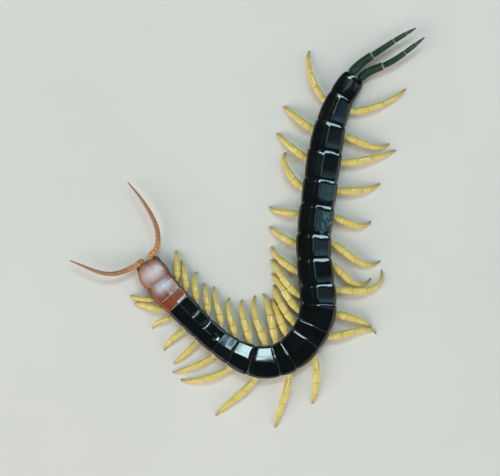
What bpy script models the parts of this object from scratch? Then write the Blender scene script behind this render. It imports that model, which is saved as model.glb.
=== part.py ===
"""Giant centipede, life size, resting on its forty walking legs with the trunk bent in a hook.

Metres, +Z up, with the feet on z = 0. Sizes below are in millimetres. The body
follows one smooth line in plan from the head to the tail. Each plate, leg and
feeler is placed from that line, so the whole pose follows from a few numbers.
"""

import math

import bmesh
import bpy
import numpy as np
from mathutils import Matrix, Vector

MM = 0.001
GAP = 0.3

# Middle line of the body in plan, from the front of the head to the end of the last tergite.
BODY_LINE = (
    (-35.2, -12.5), (-31.3, -19.3), (-24.3, -27.1), (-15.7, -35.7), (-5.2, -43.9),
    (4.9, -47.5), (13.8, -45.3), (20.0, -39.5), (24.2, -29.9), (24.0, -20.9),
    (22.9, -7.5), (24.3, 7.1), (27.1, 26.5), (32.9, 45.7), (37.4, 52.7),
)
LINE_STEP = 0.05

# Lengths along the line: the head, then the 21 leg-bearing segments, long and short in turn.
HEAD_LENGTH = 7.9
SEGMENT_LENGTHS = (
    6.2, 3.9, 6.8, 5.1, 7.4, 6.0, 6.9, 9.1, 4.5, 8.4, 5.0,
    7.7, 6.7, 9.3, 8.4, 10.4, 9.0, 10.6, 9.8, 10.3, 8.4,
)

# Width of the tergites, by the number of segments passed.
WIDTH_STATIONS = (0.0, 2.0, 4.0, 5.5, 7.2, 9.5, 12.0, 14.0, 18.0, 19.0, 20.0, 21.0)
WIDTHS = (10.8, 10.0, 9.2, 9.3, 11.3, 12.3, 13.1, 12.5, 12.3, 11.0, 9.4, 8.9)
HEIGHT_TO_WIDTH = 0.44
BELLY_LEVEL = 1.1

# Half cross-section, as shares of the half width and of the height. The belly and
# the side wall come first, then the tergite from its rim to the middle of the back.
BELLY_SECTION = ((0.0, 0.0), (0.60, 0.0), (0.88, 0.11), (0.88, 0.56))
TERGITE_SECTION = ((1.0, 0.61), (0.96, 0.73), (0.76, 0.89), (0.40, 0.98), (0.0, 1.0))
WALL_SHARE = 0.88
WALL_MIDDLE = 0.335

# Along a segment: share of its length, size of the tergite there, rise of the belly in mm.
SEGMENT_STEPS = (
    (0.0, 0.93, 0.14), (0.09, 0.98, 0.0), (0.35, 1.0, 0.0), (0.66, 1.005, 0.0), (0.93, 1.02, 0.0),
)
LAST_SEGMENT_STEPS = (
    (0.0, 0.93, 0.14), (0.09, 0.98, 0.0), (0.40, 1.0, 0.0), (0.72, 0.985, 0.0), (0.90, 0.965, 0.0),
    (1.0, 0.925, 0.1),
)

# Where a leg stands along its segment, by the number of the segment. Toward the head
# the left legs reach forward from nearer the front edge of their tergites.
LEFT_LEG_STATIONS = ((1, 3, 8, 10, 11, 12, 20), (0.55, 0.30, 0.30, 0.70, 0.90, 0.75, 0.72))
RIGHT_LEG_STATIONS = ((1, 10, 20), (0.55, 0.65, 0.72))

# Trunk nodes: first and last segment of each length.
TRUNK_LENGTHS = (
    (1, 1), (2, 2), (3, 4), (5, 6), (7, 8), (9, 10), (11, 12),
    (13, 14), (15, 16), (17, 18), (19, 20), (21, 21),
)
RED_SEGMENTS = 2
SEGMENTS = len(SEGMENT_LENGTHS)

# Walking legs from the head to the tail: degrees swung ahead of straight out, reach
# from root to tip in mm, and how far the middle bows ahead of that straight line in mm.
LEFT_STANCE = (
    (49, 8.4, -0.7), (52, 10.5, 0.0), (12, 8.1, 0.9), (-1, 10.5, 0.9), (5, 11.6, -0.2),
    (31, 15.8, -1.0), (47, 17.9, -1.9), (36, 19.2, -0.4), (35, 19.3, -0.5), (49, 16.4, -1.3),
    (-30, 17.3, -0.9), (10, 13.6, -0.6), (-20, 18.4, 4.7), (20, 14.7, 3.3), (15, 18.8, 2.7),
    (-4, 13.8, 2.1), (-19, 16.0, 1.6), (-23, 20.6, 1.3), (-6, 16.6, 2.2), (-47, 21.6, 2.4),
)
RIGHT_STANCE = (
    (48, 10.6, -0.6), (51, 10.7, -0.8), (40, 10.8, 0.6), (49, 11.1, -0.5), (48, 14.4, -0.2),
    (39, 14.1, 0.6), (32, 16.0, 0.4), (8, 18.6, 1.2), (-9, 18.4, -0.3), (-21, 14.0, 0.0),
    (-32, 15.8, 1.2), (-42, 16.4, 0.5), (-56, 16.2, 1.1), (-50, 12.8, 1.6), (-32, 11.5, 0.9),
    (-8, 11.2, 1.0), (-57, 14.2, 2.4), (-32, 14.2, 0.8), (-26, 13.8, 0.7), (-50, 19.0, 2.4),
)

# One walking leg, root to claw: share of its length, radius in mm, height above the
# floor as a share of the way up to the root, with the knee higher than the root.
LEG_RINGS = (
    (0.0, 1.28, 1.0), (0.09, 1.26, 1.0), (0.14, 1.20, 1.05), (0.19, 1.36, 1.08), (0.31, 1.40, 1.22),
    (0.34, 1.25, 1.21), (0.52, 1.28, 1.02), (0.55, 1.04, 0.97), (0.72, 1.02, 0.62), (0.75, 0.78, 0.56),
    (0.86, 0.68, 0.32), (0.88, 0.54, 0.27), (0.95, 0.36, 0.09), (0.967, 0.19, 0.05), (1.0, 0.09, 0.02),
)
LEG_HEIGHT_TO_WIDTH = 0.80
LEG_SIDES = 6
LEG_WIDTH_OF_TRUNK = 10.8
LEG_FULL_REACH = 12.5
COXA_SHARE = 0.20

# Terminal legs: plan points from the last tergite out, and their heights.
TERMINAL_SPREAD = 1.9
TERMINAL_START = 2.6
LEFT_TERMINAL = ((48.2, 57.0, 4.6), (56.2, 61.9, 6.0), (62.3, 66.7, 6.2))
RIGHT_TERMINAL = ((44.6, 61.0, 4.6), (52.3, 65.9, 6.0), (59.3, 70.0, 6.2))
TERMINAL_RINGS = (
    (0.0, 1.42), (0.05, 1.58), (0.20, 1.54), (0.355, 1.30), (0.375, 1.02), (0.40, 1.18), (0.66, 1.0),
    (0.69, 0.80), (0.71, 0.92), (0.84, 0.80), (0.86, 0.58), (0.88, 0.66), (0.935, 0.52), (0.945, 0.38),
    (0.98, 0.30), (0.985, 0.20), (1.0, 0.08),
)
TERMINAL_SIDES = 8
TERMINAL_HEIGHT_TO_WIDTH = 0.86
TERMINAL_STRAIGHT = 1.6

# Spines of a terminal leg: share of its length, degrees turned up from its inner edge.
SPINE_PLACES = ((0.10, 40), (0.17, 75), (0.25, 35), (0.335, 60), (0.33, 105))
SPINE_LENGTH = 0.75
SPINE_RADIUS = 0.26
SPINE_TIP_RADIUS = 0.04
SPINE_LEAN = 0.45
SPINE_DEPTH = 0.1

# Antennae: plan points and heights, from the front of the head out to the tip.
ANTENNA_SPREAD = 1.75
ANTENNA_START = 3.95
ANTENNA_STRAIGHT = 0.9
LEFT_ANTENNA = (
    (-37.8, -12.2, 4.4), (-41.0, -14.7, 4.9), (-45.8, -16.7, 5.3),
    (-51.4, -16.4, 5.2), (-56.9, -14.3, 4.7), (-62.3, -12.0, 4.0),
)
RIGHT_ANTENNA = (
    (-32.9, -9.2, 4.4), (-31.4, -5.6, 4.9), (-31.9, -0.6, 5.3),
    (-34.3, 4.8, 5.2), (-38.2, 10.7, 4.7), (-42.3, 15.6, 4.0),
)
ANTENNA_ARTICLES = 18
ANTENNA_ROOT_RADIUS = 1.05
ANTENNA_TIP_RADIUS = 0.26
ANTENNA_HEIGHT_TO_WIDTH = 0.84
ANTENNA_SIDES = 6
ANTENNA_SWELLS = ((0.0, 0.88), (0.72, 1.04))
ANTENNA_TAPER = 1.7

# Overhanging rear edge of the last tergite: distance past the trunk's end, share of the
# half width, underside and top as shares of the trunk's height there.
TAIL_RIM = (
    (-1.6, 0.70, 0.77, 0.88), (0.4, 0.72, 0.77, 0.91), (1.2, 0.52, 0.78, 0.905), (1.9, 0.22, 0.80, 0.89),
)
RIM_FLAT = 0.7
RIM_FALL = 0.1

# Head plate: share of its length from the front, share of the width, underside and top in mm.
HEAD_RINGS = (
    (0.0, 0.56, 3.1, 4.75), (0.08, 0.72, 2.95, 5.0), (0.22, 0.87, 2.8, 5.3), (0.42, 0.97, 2.75, 5.55),
    (0.65, 1.0, 2.75, 5.65), (0.86, 0.98, 2.75, 5.6), (1.0, 0.93, 2.75, 5.4),
)
HEAD_WIDTH = 10.8
HEAD_SECTION = (
    (0.0, 0.0), (0.45, 0.0), (0.80, 0.08), (0.96, 0.28), (1.0, 0.42),
    (0.97, 0.58), (0.84, 0.80), (0.58, 0.94), (0.28, 0.99), (0.0, 1.0),
)
OCELLUS_RADIUS = 0.3
OCELLUS_DEPTH = 0.12
OCELLI = ((0.13, 0.70), (0.20, 0.60), (0.15, 0.36), (0.23, 0.28))

# Forcipular plate under the head, and the two poison claws in front of it.
PLATE_RINGS = ((0.40, 0.50, 1.35), (0.47, 0.66, 1.1), (0.75, 0.76, 1.0), (1.0, 0.80, 1.0))
PLATE_TOP = 2.45
PLATE_SECTION = ((0.0, 0.0), (0.75, 0.0), (1.0, 0.35), (1.0, 0.75), (0.85, 1.0), (0.0, 1.0))
FORCIPULE_LINE = ((0.36, 2.0), (0.27, 3.1), (0.12, 3.75), (-0.02, 3.2), (-0.10, 1.9), (-0.125, 0.55))
FORCIPULE_RADII = (0.72, 0.82, 0.72, 0.5, 0.32, 0.12)
FORCIPULE_LEVEL = 1.72
FORCIPULE_HEIGHT = 0.85
FORCIPULE_SIDES = 8
FORCIPULE_STEPS = 9

SHELL_BLACK = (0.006, 0.009, 0.010)
SHELL_RED = (0.36, 0.060, 0.018)
LEG_YELLOW = (0.58, 0.45, 0.08)
ANTENNA_ORANGE = (0.46, 0.13, 0.03)
FANG_BROWN = (0.20, 0.045, 0.015)
TERMINAL_GREEN = (0.012, 0.030, 0.022)
LEFT = 1
RIGHT = -1


def natural_spline(points, step):
    """Return points every `step` along a smooth curve through `points`, any dimension."""
    knots = np.array(points, dtype=float)
    spans = np.linalg.norm(np.diff(knots, axis=0), axis=1)
    ends = np.concatenate(([0.0], np.cumsum(spans)))
    count = len(knots)
    matrix = np.eye(count)
    slopes = np.zeros_like(knots)
    for i in range(1, count - 1):
        matrix[i, i - 1:i + 2] = (spans[i - 1], 2 * (spans[i - 1] + spans[i]), spans[i])
        ahead = (knots[i + 1] - knots[i]) / spans[i]
        behind = (knots[i] - knots[i - 1]) / spans[i - 1]
        slopes[i] = 6 * (ahead - behind)
    bends = np.linalg.solve(matrix, slopes)
    samples = []
    for t in np.linspace(0.0, ends[-1], int(ends[-1] / step) + 1):
        i = min(int(np.searchsorted(ends, t, side="right")) - 1, count - 2)
        a = (ends[i + 1] - t) / spans[i]
        b = 1 - a
        curve = (a ** 3 - a) * bends[i] + (b ** 3 - b) * bends[i + 1]
        samples.append(a * knots[i] + b * knots[i + 1] + curve * spans[i] ** 2 / 6)
    return np.array(samples)


class Line:
    """A smooth line through a few points, read by the length along it."""

    def __init__(self, points, step=LINE_STEP):
        self.samples = natural_spline(points, step)
        steps = np.linalg.norm(np.diff(self.samples, axis=0), axis=1)
        self.lengths = np.concatenate(([0.0], np.cumsum(steps)))
        self.length = self.lengths[-1]

    def point(self, length):
        """Return the point at a length, with z = 0 where the line is flat."""
        values = [np.interp(length, self.lengths, column) for column in self.samples.T]
        return Vector(values).to_3d()

    def direction(self, length, reach=0.5):
        """Return the unit direction toward the line's end."""
        ahead = self.point(min(length + reach, self.length))
        behind = self.point(max(length - reach, 0.0))
        return (ahead - behind).normalized()


BODY = Line(BODY_LINE)
SEGMENT_SCALE = (BODY.length - HEAD_LENGTH) / sum(SEGMENT_LENGTHS)
BOUNDARIES = HEAD_LENGTH + SEGMENT_SCALE * np.concatenate(([0.0], np.cumsum(SEGMENT_LENGTHS)))


def station(segment, share):
    """Return the length along the body at a share of a segment, counted from 1."""
    front = BOUNDARIES[segment - 1]
    return front + share * (BOUNDARIES[segment] - front)


def width_at(length):
    """Return the width of the tergites at a length along the body."""
    passed = np.interp(length, BOUNDARIES, np.arange(len(BOUNDARIES)))
    return float(np.interp(passed, WIDTH_STATIONS, WIDTHS))


def body_frame(length):
    """Return the point on the body line, the way to the tail and the way to the left."""
    tailward = BODY.direction(length)
    left = Vector((tailward.y, -tailward.x, 0.0))
    return BODY.point(length), tailward, left


def across(half):
    """Return a whole section from its half: down the left side, then up the right side."""
    left = [(share, level) for share, level in half]
    right = [(-share, level) for share, level in reversed(half[1:-1])]
    return left + right


def section_ring(length, shift, places):
    """Set (sideways, height) places in mm in the plane across the body at a length."""
    point, tailward, left = body_frame(length)
    point = point + tailward * shift
    return [point + left * side + Vector((0.0, 0.0, level)) for side, level in places]


def trunk_places(length, size, belly_rise):
    """Return the trunk's section at a length, with its tergite grown or shrunk by size."""
    half_width = width_at(length) / 2
    height = half_width * 2 * HEIGHT_TO_WIDTH
    half = []
    for share, level in BELLY_SECTION:
        rise = belly_rise if level == 0.0 else 0.0
        half.append((share * half_width, BELLY_LEVEL + level * height + rise))
    for share, level in TERGITE_SECTION:
        half.append((share * half_width * size, BELLY_LEVEL + level * height * size))
    return across(half)


def material(name, colour, roughness):
    """Return a Principled material of one colour."""
    made = bpy.data.materials.new(name)
    made.use_nodes = True
    shader = made.node_tree.nodes["Principled BSDF"]
    shader.inputs["Base Color"].default_value = (*colour, 1.0)
    shader.inputs["Roughness"].default_value = roughness
    shader.inputs["Metallic"].default_value = 0.0
    return made


def frame_matrix(origin, direction):
    """Return a placement at a point in mm whose local X points along a direction in plan."""
    turn = math.atan2(direction.y, direction.x)
    return Matrix.Translation(Vector(origin) * MM) @ Matrix.Rotation(turn, 4, "Z")


def loft(name, rings, placement):
    """Make one closed object through rings of points in mm, with a flat cap at each end."""
    shape = bmesh.new()
    loops = [[shape.verts.new(Vector(point) * MM) for point in ring] for ring in rings]
    for near, far in zip(loops, loops[1:]):
        for i in range(len(near)):
            shape.faces.new((near[i - 1], near[i], far[i], far[i - 1]))
    shape.faces.new(loops[0])
    shape.faces.new(loops[-1])
    bmesh.ops.recalc_face_normals(shape, faces=shape.faces)
    bmesh.ops.transform(shape, matrix=placement.inverted(), verts=shape.verts)
    mesh = bpy.data.meshes.new(name)
    shape.to_mesh(mesh)
    shape.free()
    mesh.shade_smooth()
    mesh.set_sharp_from_angle(angle=math.radians(40))
    made = bpy.data.objects.new(name, mesh)
    made.matrix_world = placement
    bpy.context.scene.collection.objects.link(made)
    return made


def tube_rings(points, radii, sides, first_normal, flatten):
    """Return level-sided rings round a route, the first one square to first_normal."""
    rings = []
    last = len(points) - 1
    for i, (point, radius) in enumerate(zip(points, radii)):
        along = points[min(i + 1, last)] - points[max(i - 1, 0)]
        if i == 0:
            along = first_normal
        along = along.normalized()
        side = Vector((along.y, -along.x, 0.0)).normalized()
        top = side.cross(along).normalized()
        ring = []
        for k in range(sides):
            angle = 2 * math.pi * (k + 0.5) / sides
            offset = side * math.cos(angle) + top * (math.sin(angle) * flatten)
            place = point + offset * radius
            place.z = max(place.z, 0.0)
            ring.append(place)
        rings.append(ring)
    return rings


def keep_largest(mesh):
    """Delete every closed surface of a mesh but the one with most faces."""
    shape = bmesh.new()
    shape.from_mesh(mesh)
    left_over = set(shape.faces)
    bodies = []
    while left_over:
        front = [left_over.pop()]
        body = set(front)
        while front:
            face = front.pop()
            near = {other for edge in face.edges for other in edge.link_faces}
            fresh = near & left_over
            left_over -= fresh
            body |= fresh
            front.extend(fresh)
        bodies.append(body)
    bodies.sort(key=len)
    for body in bodies[:-1]:
        bmesh.ops.delete(shape, geom=list(body), context="FACES")
    shape.to_mesh(mesh)
    shape.free()


def fuse(body, pieces):
    """Join small pieces to their body by one Boolean union."""
    group = bpy.data.collections.new(body.name + "_pieces")
    for piece in pieces:
        group.objects.link(piece)
    union = body.modifiers.new("fuse", "BOOLEAN")
    union.operation = "UNION"
    union.operand_type = "COLLECTION"
    union.collection = group
    union.solver = "EXACT"
    bpy.context.view_layer.update()
    depsgraph = bpy.context.evaluated_depsgraph_get()
    joined = bpy.data.meshes.new_from_object(body.evaluated_get(depsgraph))
    body.modifiers.clear()
    body.data = joined
    for piece in pieces:
        bpy.data.objects.remove(piece)
    bpy.data.collections.remove(group)
    keep_largest(joined)


def build_trunk():
    """Make the trunk lengths, each of one or two segments, stepped at every tergite."""
    made = []
    for first, last in TRUNK_LENGTHS:
        rings = []
        start = BOUNDARIES[first - 1]
        end = BOUNDARIES[last]
        for segment in range(first, last + 1):
            steps = LAST_SEGMENT_STEPS if segment == SEGMENTS else SEGMENT_STEPS
            for share, size, rise in steps:
                length = station(segment, share)
                shift = GAP / 2 if length == start else 0.0
                rings.append(section_ring(length, shift, trunk_places(length, size, rise)))
        if last < SEGMENTS:
            _, size, rise = SEGMENT_STEPS[0]
            rings.append(section_ring(end, -GAP / 2, trunk_places(end, size, rise)))
        point, tailward, _ = body_frame(start)
        name = f"trunk_{first:02d}" if first == last else f"trunk_{first:02d}_{last:02d}"
        trunk = loft(name, rings, frame_matrix(point, tailward))
        red = last <= RED_SEGMENTS
        trunk.data.materials.append(SHELL_RED_PAINT if red else SHELL_BLACK_PAINT)
        made.append(trunk)
    fuse(made[-1], [tail_rim()])
    return made


def tail_rim():
    """Make the thin rear edge that the last tergite holds out over the terminal legs."""
    end = BOUNDARIES[-1]
    half_width = width_at(end) / 2
    height = half_width * 2 * HEIGHT_TO_WIDTH
    rings = []
    for past, share, low, high in TAIL_RIM:
        side = share * half_width
        bottom = BELLY_LEVEL + low * height
        top = BELLY_LEVEL + high * height
        half = [
            (0.0, bottom), (side * RIM_FLAT, bottom), (side, (bottom + top) / 2),
            (side * RIM_FLAT, top - RIM_FALL), (0.0, top),
        ]
        rings.append(section_ring(end, past, across(half)))
    point, tailward, _ = body_frame(end)
    rim = loft("rim", rings, frame_matrix(point, tailward))
    bpy.context.scene.collection.objects.unlink(rim)
    return rim


def leg_route(root, outward, forward, stance):
    """Return a walking leg's plan curve as a function of the share of its length."""
    swing, reach, bow = stance
    angle = math.radians(swing)
    tip = root + outward * (reach * math.cos(angle)) + forward * (reach * math.sin(angle))
    ahead = forward * math.cos(angle) - outward * math.sin(angle)
    middle = (root + tip) / 2 + ahead * bow
    near = root + outward * (COXA_SHARE * reach)
    far = (middle * 8 - root - near * 3 - tip) / 3

    def place(share):
        rest = 1 - share
        first = root * rest ** 3 + near * (3 * share * rest ** 2)
        return first + far * (3 * share ** 2 * rest) + tip * share ** 3

    return place


def build_leg(segment, side, stance):
    """Make one walking leg, from the side wall of its segment down to the floor."""
    stations = LEFT_LEG_STATIONS if side == LEFT else RIGHT_LEG_STATIONS
    length = station(segment, float(np.interp(segment, *stations)))
    point, tailward, left = body_frame(length)
    outward = left * side
    width = width_at(length)
    size = min(width / LEG_WIDTH_OF_TRUNK, stance[1] / LEG_FULL_REACH, 1.0)
    level = BELLY_LEVEL + WALL_MIDDLE * width * HEIGHT_TO_WIDTH
    root = point + outward * (WALL_SHARE * width / 2 + GAP)
    place = leg_route(root, outward, -tailward, stance)
    points = []
    radii = []
    for share, radius, rise in LEG_RINGS:
        spot = place(share)
        spot.z = level * rise
        points.append(spot)
        radii.append(radius * size)
    side_name = "left" if side == LEFT else "right"
    name = f"leg_{side_name}_{segment:02d}"
    rings = tube_rings(points, radii, LEG_SIDES, outward, LEG_HEIGHT_TO_WIDTH)
    leg = loft(name, rings, frame_matrix((root.x, root.y, level), outward))
    leg.data.materials.append(LEG_PAINT)
    return leg


def loose_object(name, shape):
    """Return an unlinked object that holds a shape made in place, in metres."""
    mesh = bpy.data.meshes.new(name)
    shape.to_mesh(mesh)
    shape.free()
    return bpy.data.objects.new(name, mesh)


def spine(place, direction):
    """Make a small cone that stands on a leg, its root sunk below the surface."""
    turn = direction.to_track_quat("Z", "Y").to_matrix().to_4x4()
    shape = bmesh.new()
    bmesh.ops.create_cone(
        shape, cap_ends=True, segments=5, radius1=SPINE_RADIUS * MM, radius2=SPINE_TIP_RADIUS * MM,
        depth=SPINE_LENGTH * 2 * MM, matrix=Matrix.Translation(place * MM) @ turn,
    )
    return loose_object("spine", shape)


def ocellus(place):
    """Make one simple eye, a small ball sunk into the side of the head."""
    shape = bmesh.new()
    bmesh.ops.create_uvsphere(
        shape, u_segments=8, v_segments=5, radius=OCELLUS_RADIUS * MM,
        matrix=Matrix.Translation(place * MM),
    )
    return loose_object("ocellus", shape)


def build_terminal_leg(side, route):
    """Make one of the last legs, carried off the floor, with spines along its inner edge."""
    point, tailward, left = body_frame(BODY.length)
    root = point + tailward * (GAP / 2) + left * (side * TERMINAL_SPREAD)
    root.z = TERMINAL_START
    line = Line([tuple(root), tuple(root + tailward * TERMINAL_STRAIGHT)] + list(route))
    points = [line.point(share * line.length) for share, _ in TERMINAL_RINGS]
    radii = [radius for _, radius in TERMINAL_RINGS]
    name = "terminal_leg_left" if side == LEFT else "terminal_leg_right"
    rings = tube_rings(points, radii, TERMINAL_SIDES, tailward, TERMINAL_HEIGHT_TO_WIDTH)
    leg = loft(name, rings, frame_matrix(root, tailward))
    spines = []
    for share, turn in SPINE_PLACES:
        along = line.direction(share * line.length)
        inward = Vector((-along.y, along.x, 0.0)) * side
        upward = Vector((0.0, 0.0, 1.0))
        out = inward * math.cos(math.radians(turn)) + upward * math.sin(math.radians(turn))
        radius = float(np.interp(share, [ring[0] for ring in TERMINAL_RINGS], radii))
        out = (out + along * SPINE_LEAN).normalized()
        spines.append(spine(line.point(share * line.length) + out * (radius - SPINE_DEPTH), out))
    leg.data.materials.append(TERMINAL_PAINT)
    fuse(leg, spines)
    return leg


def build_antenna(side, route):
    """Make one antenna of short articles, tapering from the front of the head."""
    point, tailward, left = body_frame(0.0)
    root = point - tailward * GAP + left * (side * ANTENNA_SPREAD)
    root.z = ANTENNA_START
    line = Line([tuple(root), tuple(root - tailward * ANTENNA_STRAIGHT)] + list(route))
    points = []
    radii = []
    for i in range(ANTENNA_ARTICLES):
        for part, swell in ANTENNA_SWELLS:
            share = (i + part) / ANTENNA_ARTICLES
            thinning = (ANTENNA_ROOT_RADIUS - ANTENNA_TIP_RADIUS) * share ** ANTENNA_TAPER
            points.append(line.point(share * line.length))
            radii.append((ANTENNA_ROOT_RADIUS - thinning) * swell)
    points.append(line.point(line.length))
    radii.append(ANTENNA_TIP_RADIUS * 0.5)
    name = "antenna_left" if side == LEFT else "antenna_right"
    rings = tube_rings(points, radii, ANTENNA_SIDES, -tailward, ANTENNA_HEIGHT_TO_WIDTH)
    antenna = loft(name, rings, frame_matrix(root, -tailward))
    antenna.data.materials.append(ANTENNA_PAINT)
    return antenna


def head_places(share, bottom, top):
    """Return the head's section, as wide as a share of its width, from bottom to top."""
    half_width = HEAD_WIDTH / 2 * share
    half = [(x * half_width, bottom + level * (top - bottom)) for x, level in HEAD_SECTION]
    return across(half)


def build_head():
    """Make the head plate with its four simple eyes on each side."""
    rings = []
    for along, share, bottom, top in HEAD_RINGS:
        length = along * HEAD_LENGTH
        shift = -GAP / 2 if along == 1.0 else 0.0
        rings.append(section_ring(length, shift, head_places(share, bottom, top)))
    point, tailward, _ = body_frame(HEAD_LENGTH)
    head = loft("head", rings, frame_matrix(point, tailward))
    head.data.materials.append(SHELL_RED_PAINT)
    starts = [ring[0] for ring in HEAD_RINGS]
    eyes = []
    for side in (LEFT, RIGHT):
        for along, level in OCELLI:
            point, _, left = body_frame(along * HEAD_LENGTH)
            share = float(np.interp(along, starts, [ring[1] for ring in HEAD_RINGS]))
            bottom = float(np.interp(along, starts, [ring[2] for ring in HEAD_RINGS]))
            top = float(np.interp(along, starts, [ring[3] for ring in HEAD_RINGS]))
            wide = float(np.interp(level, (0.42, 0.58, 0.80), (1.0, 0.97, 0.84)))
            spot = point + left * (side * share * wide * (HEAD_WIDTH / 2 - OCELLUS_DEPTH))
            spot.z = bottom + level * (top - bottom)
            eyes.append(ocellus(spot))
    fuse(head, eyes)
    return head


def build_forcipular_plate():
    """Make the plate under the head that carries the poison claws."""
    rings = []
    for along, share, bottom in PLATE_RINGS:
        half_width = HEAD_WIDTH / 2 * share
        half = [(x * half_width, bottom + level * (PLATE_TOP - bottom)) for x, level in PLATE_SECTION]
        shift = -GAP / 2 if along == 1.0 else 0.0
        rings.append(section_ring(along * HEAD_LENGTH, shift, across(half)))
    point, tailward, _ = body_frame(HEAD_LENGTH)
    plate = loft("forcipular_plate", rings, frame_matrix(point, tailward))
    plate.data.materials.append(SHELL_RED_PAINT)
    return plate


def build_forcipule(side):
    """Make one poison claw, curved out from the plate and in to its point."""
    _, front_tailward, _ = body_frame(0.0)
    stops = []
    for along, aside in FORCIPULE_LINE:
        point, _, left = body_frame(max(along, 0.0) * HEAD_LENGTH)
        spot = point + left * (side * aside) + front_tailward * (min(along, 0.0) * HEAD_LENGTH)
        spot.z = FORCIPULE_LEVEL
        stops.append(tuple(spot))
    line = Line(stops)
    shares = np.linspace(0.0, 1.0, FORCIPULE_STEPS)
    spots = [line.point(line.length * share) for share in shares]
    places = np.linspace(0.0, 1.0, len(FORCIPULE_RADII))
    radii = [float(radius) for radius in np.interp(shares, places, FORCIPULE_RADII)]
    _, rear, _ = body_frame(FORCIPULE_LINE[0][0] * HEAD_LENGTH)
    name = "forcipule_left" if side == LEFT else "forcipule_right"
    rings = tube_rings(spots, radii, FORCIPULE_SIDES, -rear, FORCIPULE_HEIGHT)
    claw = loft(name, rings, frame_matrix(spots[0], -rear))
    claw.data.materials.append(FANG_PAINT)
    return claw


for old in list(bpy.data.objects):
    bpy.data.objects.remove(old)

SHELL_BLACK_PAINT = material("black shell", SHELL_BLACK, 0.2)
SHELL_RED_PAINT = material("red shell", SHELL_RED, 0.25)
LEG_PAINT = material("yellow leg", LEG_YELLOW, 0.35)
ANTENNA_PAINT = material("orange antenna", ANTENNA_ORANGE, 0.4)
FANG_PAINT = material("brown poison claw", FANG_BROWN, 0.25)
TERMINAL_PAINT = material("green terminal leg", TERMINAL_GREEN, 0.3)


def main():
    """Build every piece and hang it on one empty."""
    root = bpy.data.objects.new("centipede", None)
    bpy.context.scene.collection.objects.link(root)
    pieces = [build_head(), build_forcipular_plate()]
    pieces += [build_forcipule(LEFT), build_forcipule(RIGHT)]
    pieces += [build_antenna(LEFT, LEFT_ANTENNA), build_antenna(RIGHT, RIGHT_ANTENNA)]
    pieces += build_trunk()
    for segment, stance in enumerate(LEFT_STANCE, start=1):
        pieces.append(build_leg(segment, LEFT, stance))
    for segment, stance in enumerate(RIGHT_STANCE, start=1):
        pieces.append(build_leg(segment, RIGHT, stance))
    pieces.append(build_terminal_leg(LEFT, LEFT_TERMINAL))
    pieces.append(build_terminal_leg(RIGHT, RIGHT_TERMINAL))
    for piece in pieces:
        piece.parent = root


main()
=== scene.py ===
"""Looks of a life-size giant centipede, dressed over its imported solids.

Lengths in the classes are in millimetres and are turned into metres when a piece is
finished. The body follows the same middle line in plan as the solids, from the head to
the tail. Every plate, leg and feeler is set from that line, so each lies at its solid.
"""

from __future__ import annotations

import logging
import math
from collections.abc import Callable, Iterable, Sequence
from dataclasses import dataclass, replace
from enum import Enum

import bmesh
import bpy
import numpy as np
from mathutils import Matrix, Vector, noise

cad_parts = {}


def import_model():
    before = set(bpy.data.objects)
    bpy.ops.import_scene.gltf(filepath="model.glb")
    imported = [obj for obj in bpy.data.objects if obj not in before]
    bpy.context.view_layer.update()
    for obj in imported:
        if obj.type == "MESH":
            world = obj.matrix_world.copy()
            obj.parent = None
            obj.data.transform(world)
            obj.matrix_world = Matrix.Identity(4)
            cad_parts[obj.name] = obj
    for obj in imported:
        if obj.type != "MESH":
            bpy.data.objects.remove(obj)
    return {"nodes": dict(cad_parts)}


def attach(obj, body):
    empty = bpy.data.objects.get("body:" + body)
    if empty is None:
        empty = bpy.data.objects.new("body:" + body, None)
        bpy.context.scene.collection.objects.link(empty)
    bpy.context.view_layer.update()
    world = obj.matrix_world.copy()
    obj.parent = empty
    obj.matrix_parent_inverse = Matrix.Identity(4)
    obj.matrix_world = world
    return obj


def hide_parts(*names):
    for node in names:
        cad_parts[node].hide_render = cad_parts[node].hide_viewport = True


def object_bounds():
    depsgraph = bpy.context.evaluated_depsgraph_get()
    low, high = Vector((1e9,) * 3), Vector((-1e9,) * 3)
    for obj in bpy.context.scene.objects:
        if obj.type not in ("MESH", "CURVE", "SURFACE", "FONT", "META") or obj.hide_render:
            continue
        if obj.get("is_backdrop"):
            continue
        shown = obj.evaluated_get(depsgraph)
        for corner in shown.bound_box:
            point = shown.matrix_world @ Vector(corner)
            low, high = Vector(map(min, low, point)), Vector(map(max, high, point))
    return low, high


LOG = logging.getLogger("centipede")
MM = 0.001
UP = Vector((0.0, 0.0, 1.0))
LIE = "lie"
RED_TERGITES = 2
Colour = tuple[float, float, float]
Pair = tuple[float, float]
Triple = tuple[float, float, float]
Places = Sequence[Pair]
Hollow = tuple[int, float, float, float]
Placer = Callable[[float, float], Vector]
Route = Callable[[float], Vector]
Material = bpy.types.Material
HEADING_REACH = 0.012
END_PULL = 0.5


class Side(Enum):
    """A side of the animal, with the sign of its direction from the middle line."""

    LEFT = 1
    RIGHT = -1

    @property
    def word(self) -> str:
        """Return the side's name as the nodes spell it."""
        return self.name.lower()


def between(value: float, places: Sequence[float], values: Sequence[float]) -> float:
    """Return a value read from a row of values at places, in straight steps."""
    return float(np.interp(value, places, values))


def clipped(value: float) -> float:
    """Return the value held between 0 and 1."""
    return min(max(value, 0.0), 1.0)


def eased(value: float, low: float, high: float) -> float:
    """Return 0 below low and 1 above high, with a smooth rise between."""
    share = clipped((value - low) / (high - low))
    return share * share * (3 - 2 * share)


def crowded(share: float, pull: float) -> float:
    """Return a place from -1 to 1 drawn toward both ends, to give the edges finer rows."""
    return (1 - pull) * share + pull * math.sin(share * math.pi / 2)


def crowded_along(share: float) -> float:
    """Return a place from 0 to 1 drawn toward both ends."""
    return (crowded(share * 2 - 1, END_PULL) + 1) / 2


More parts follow.
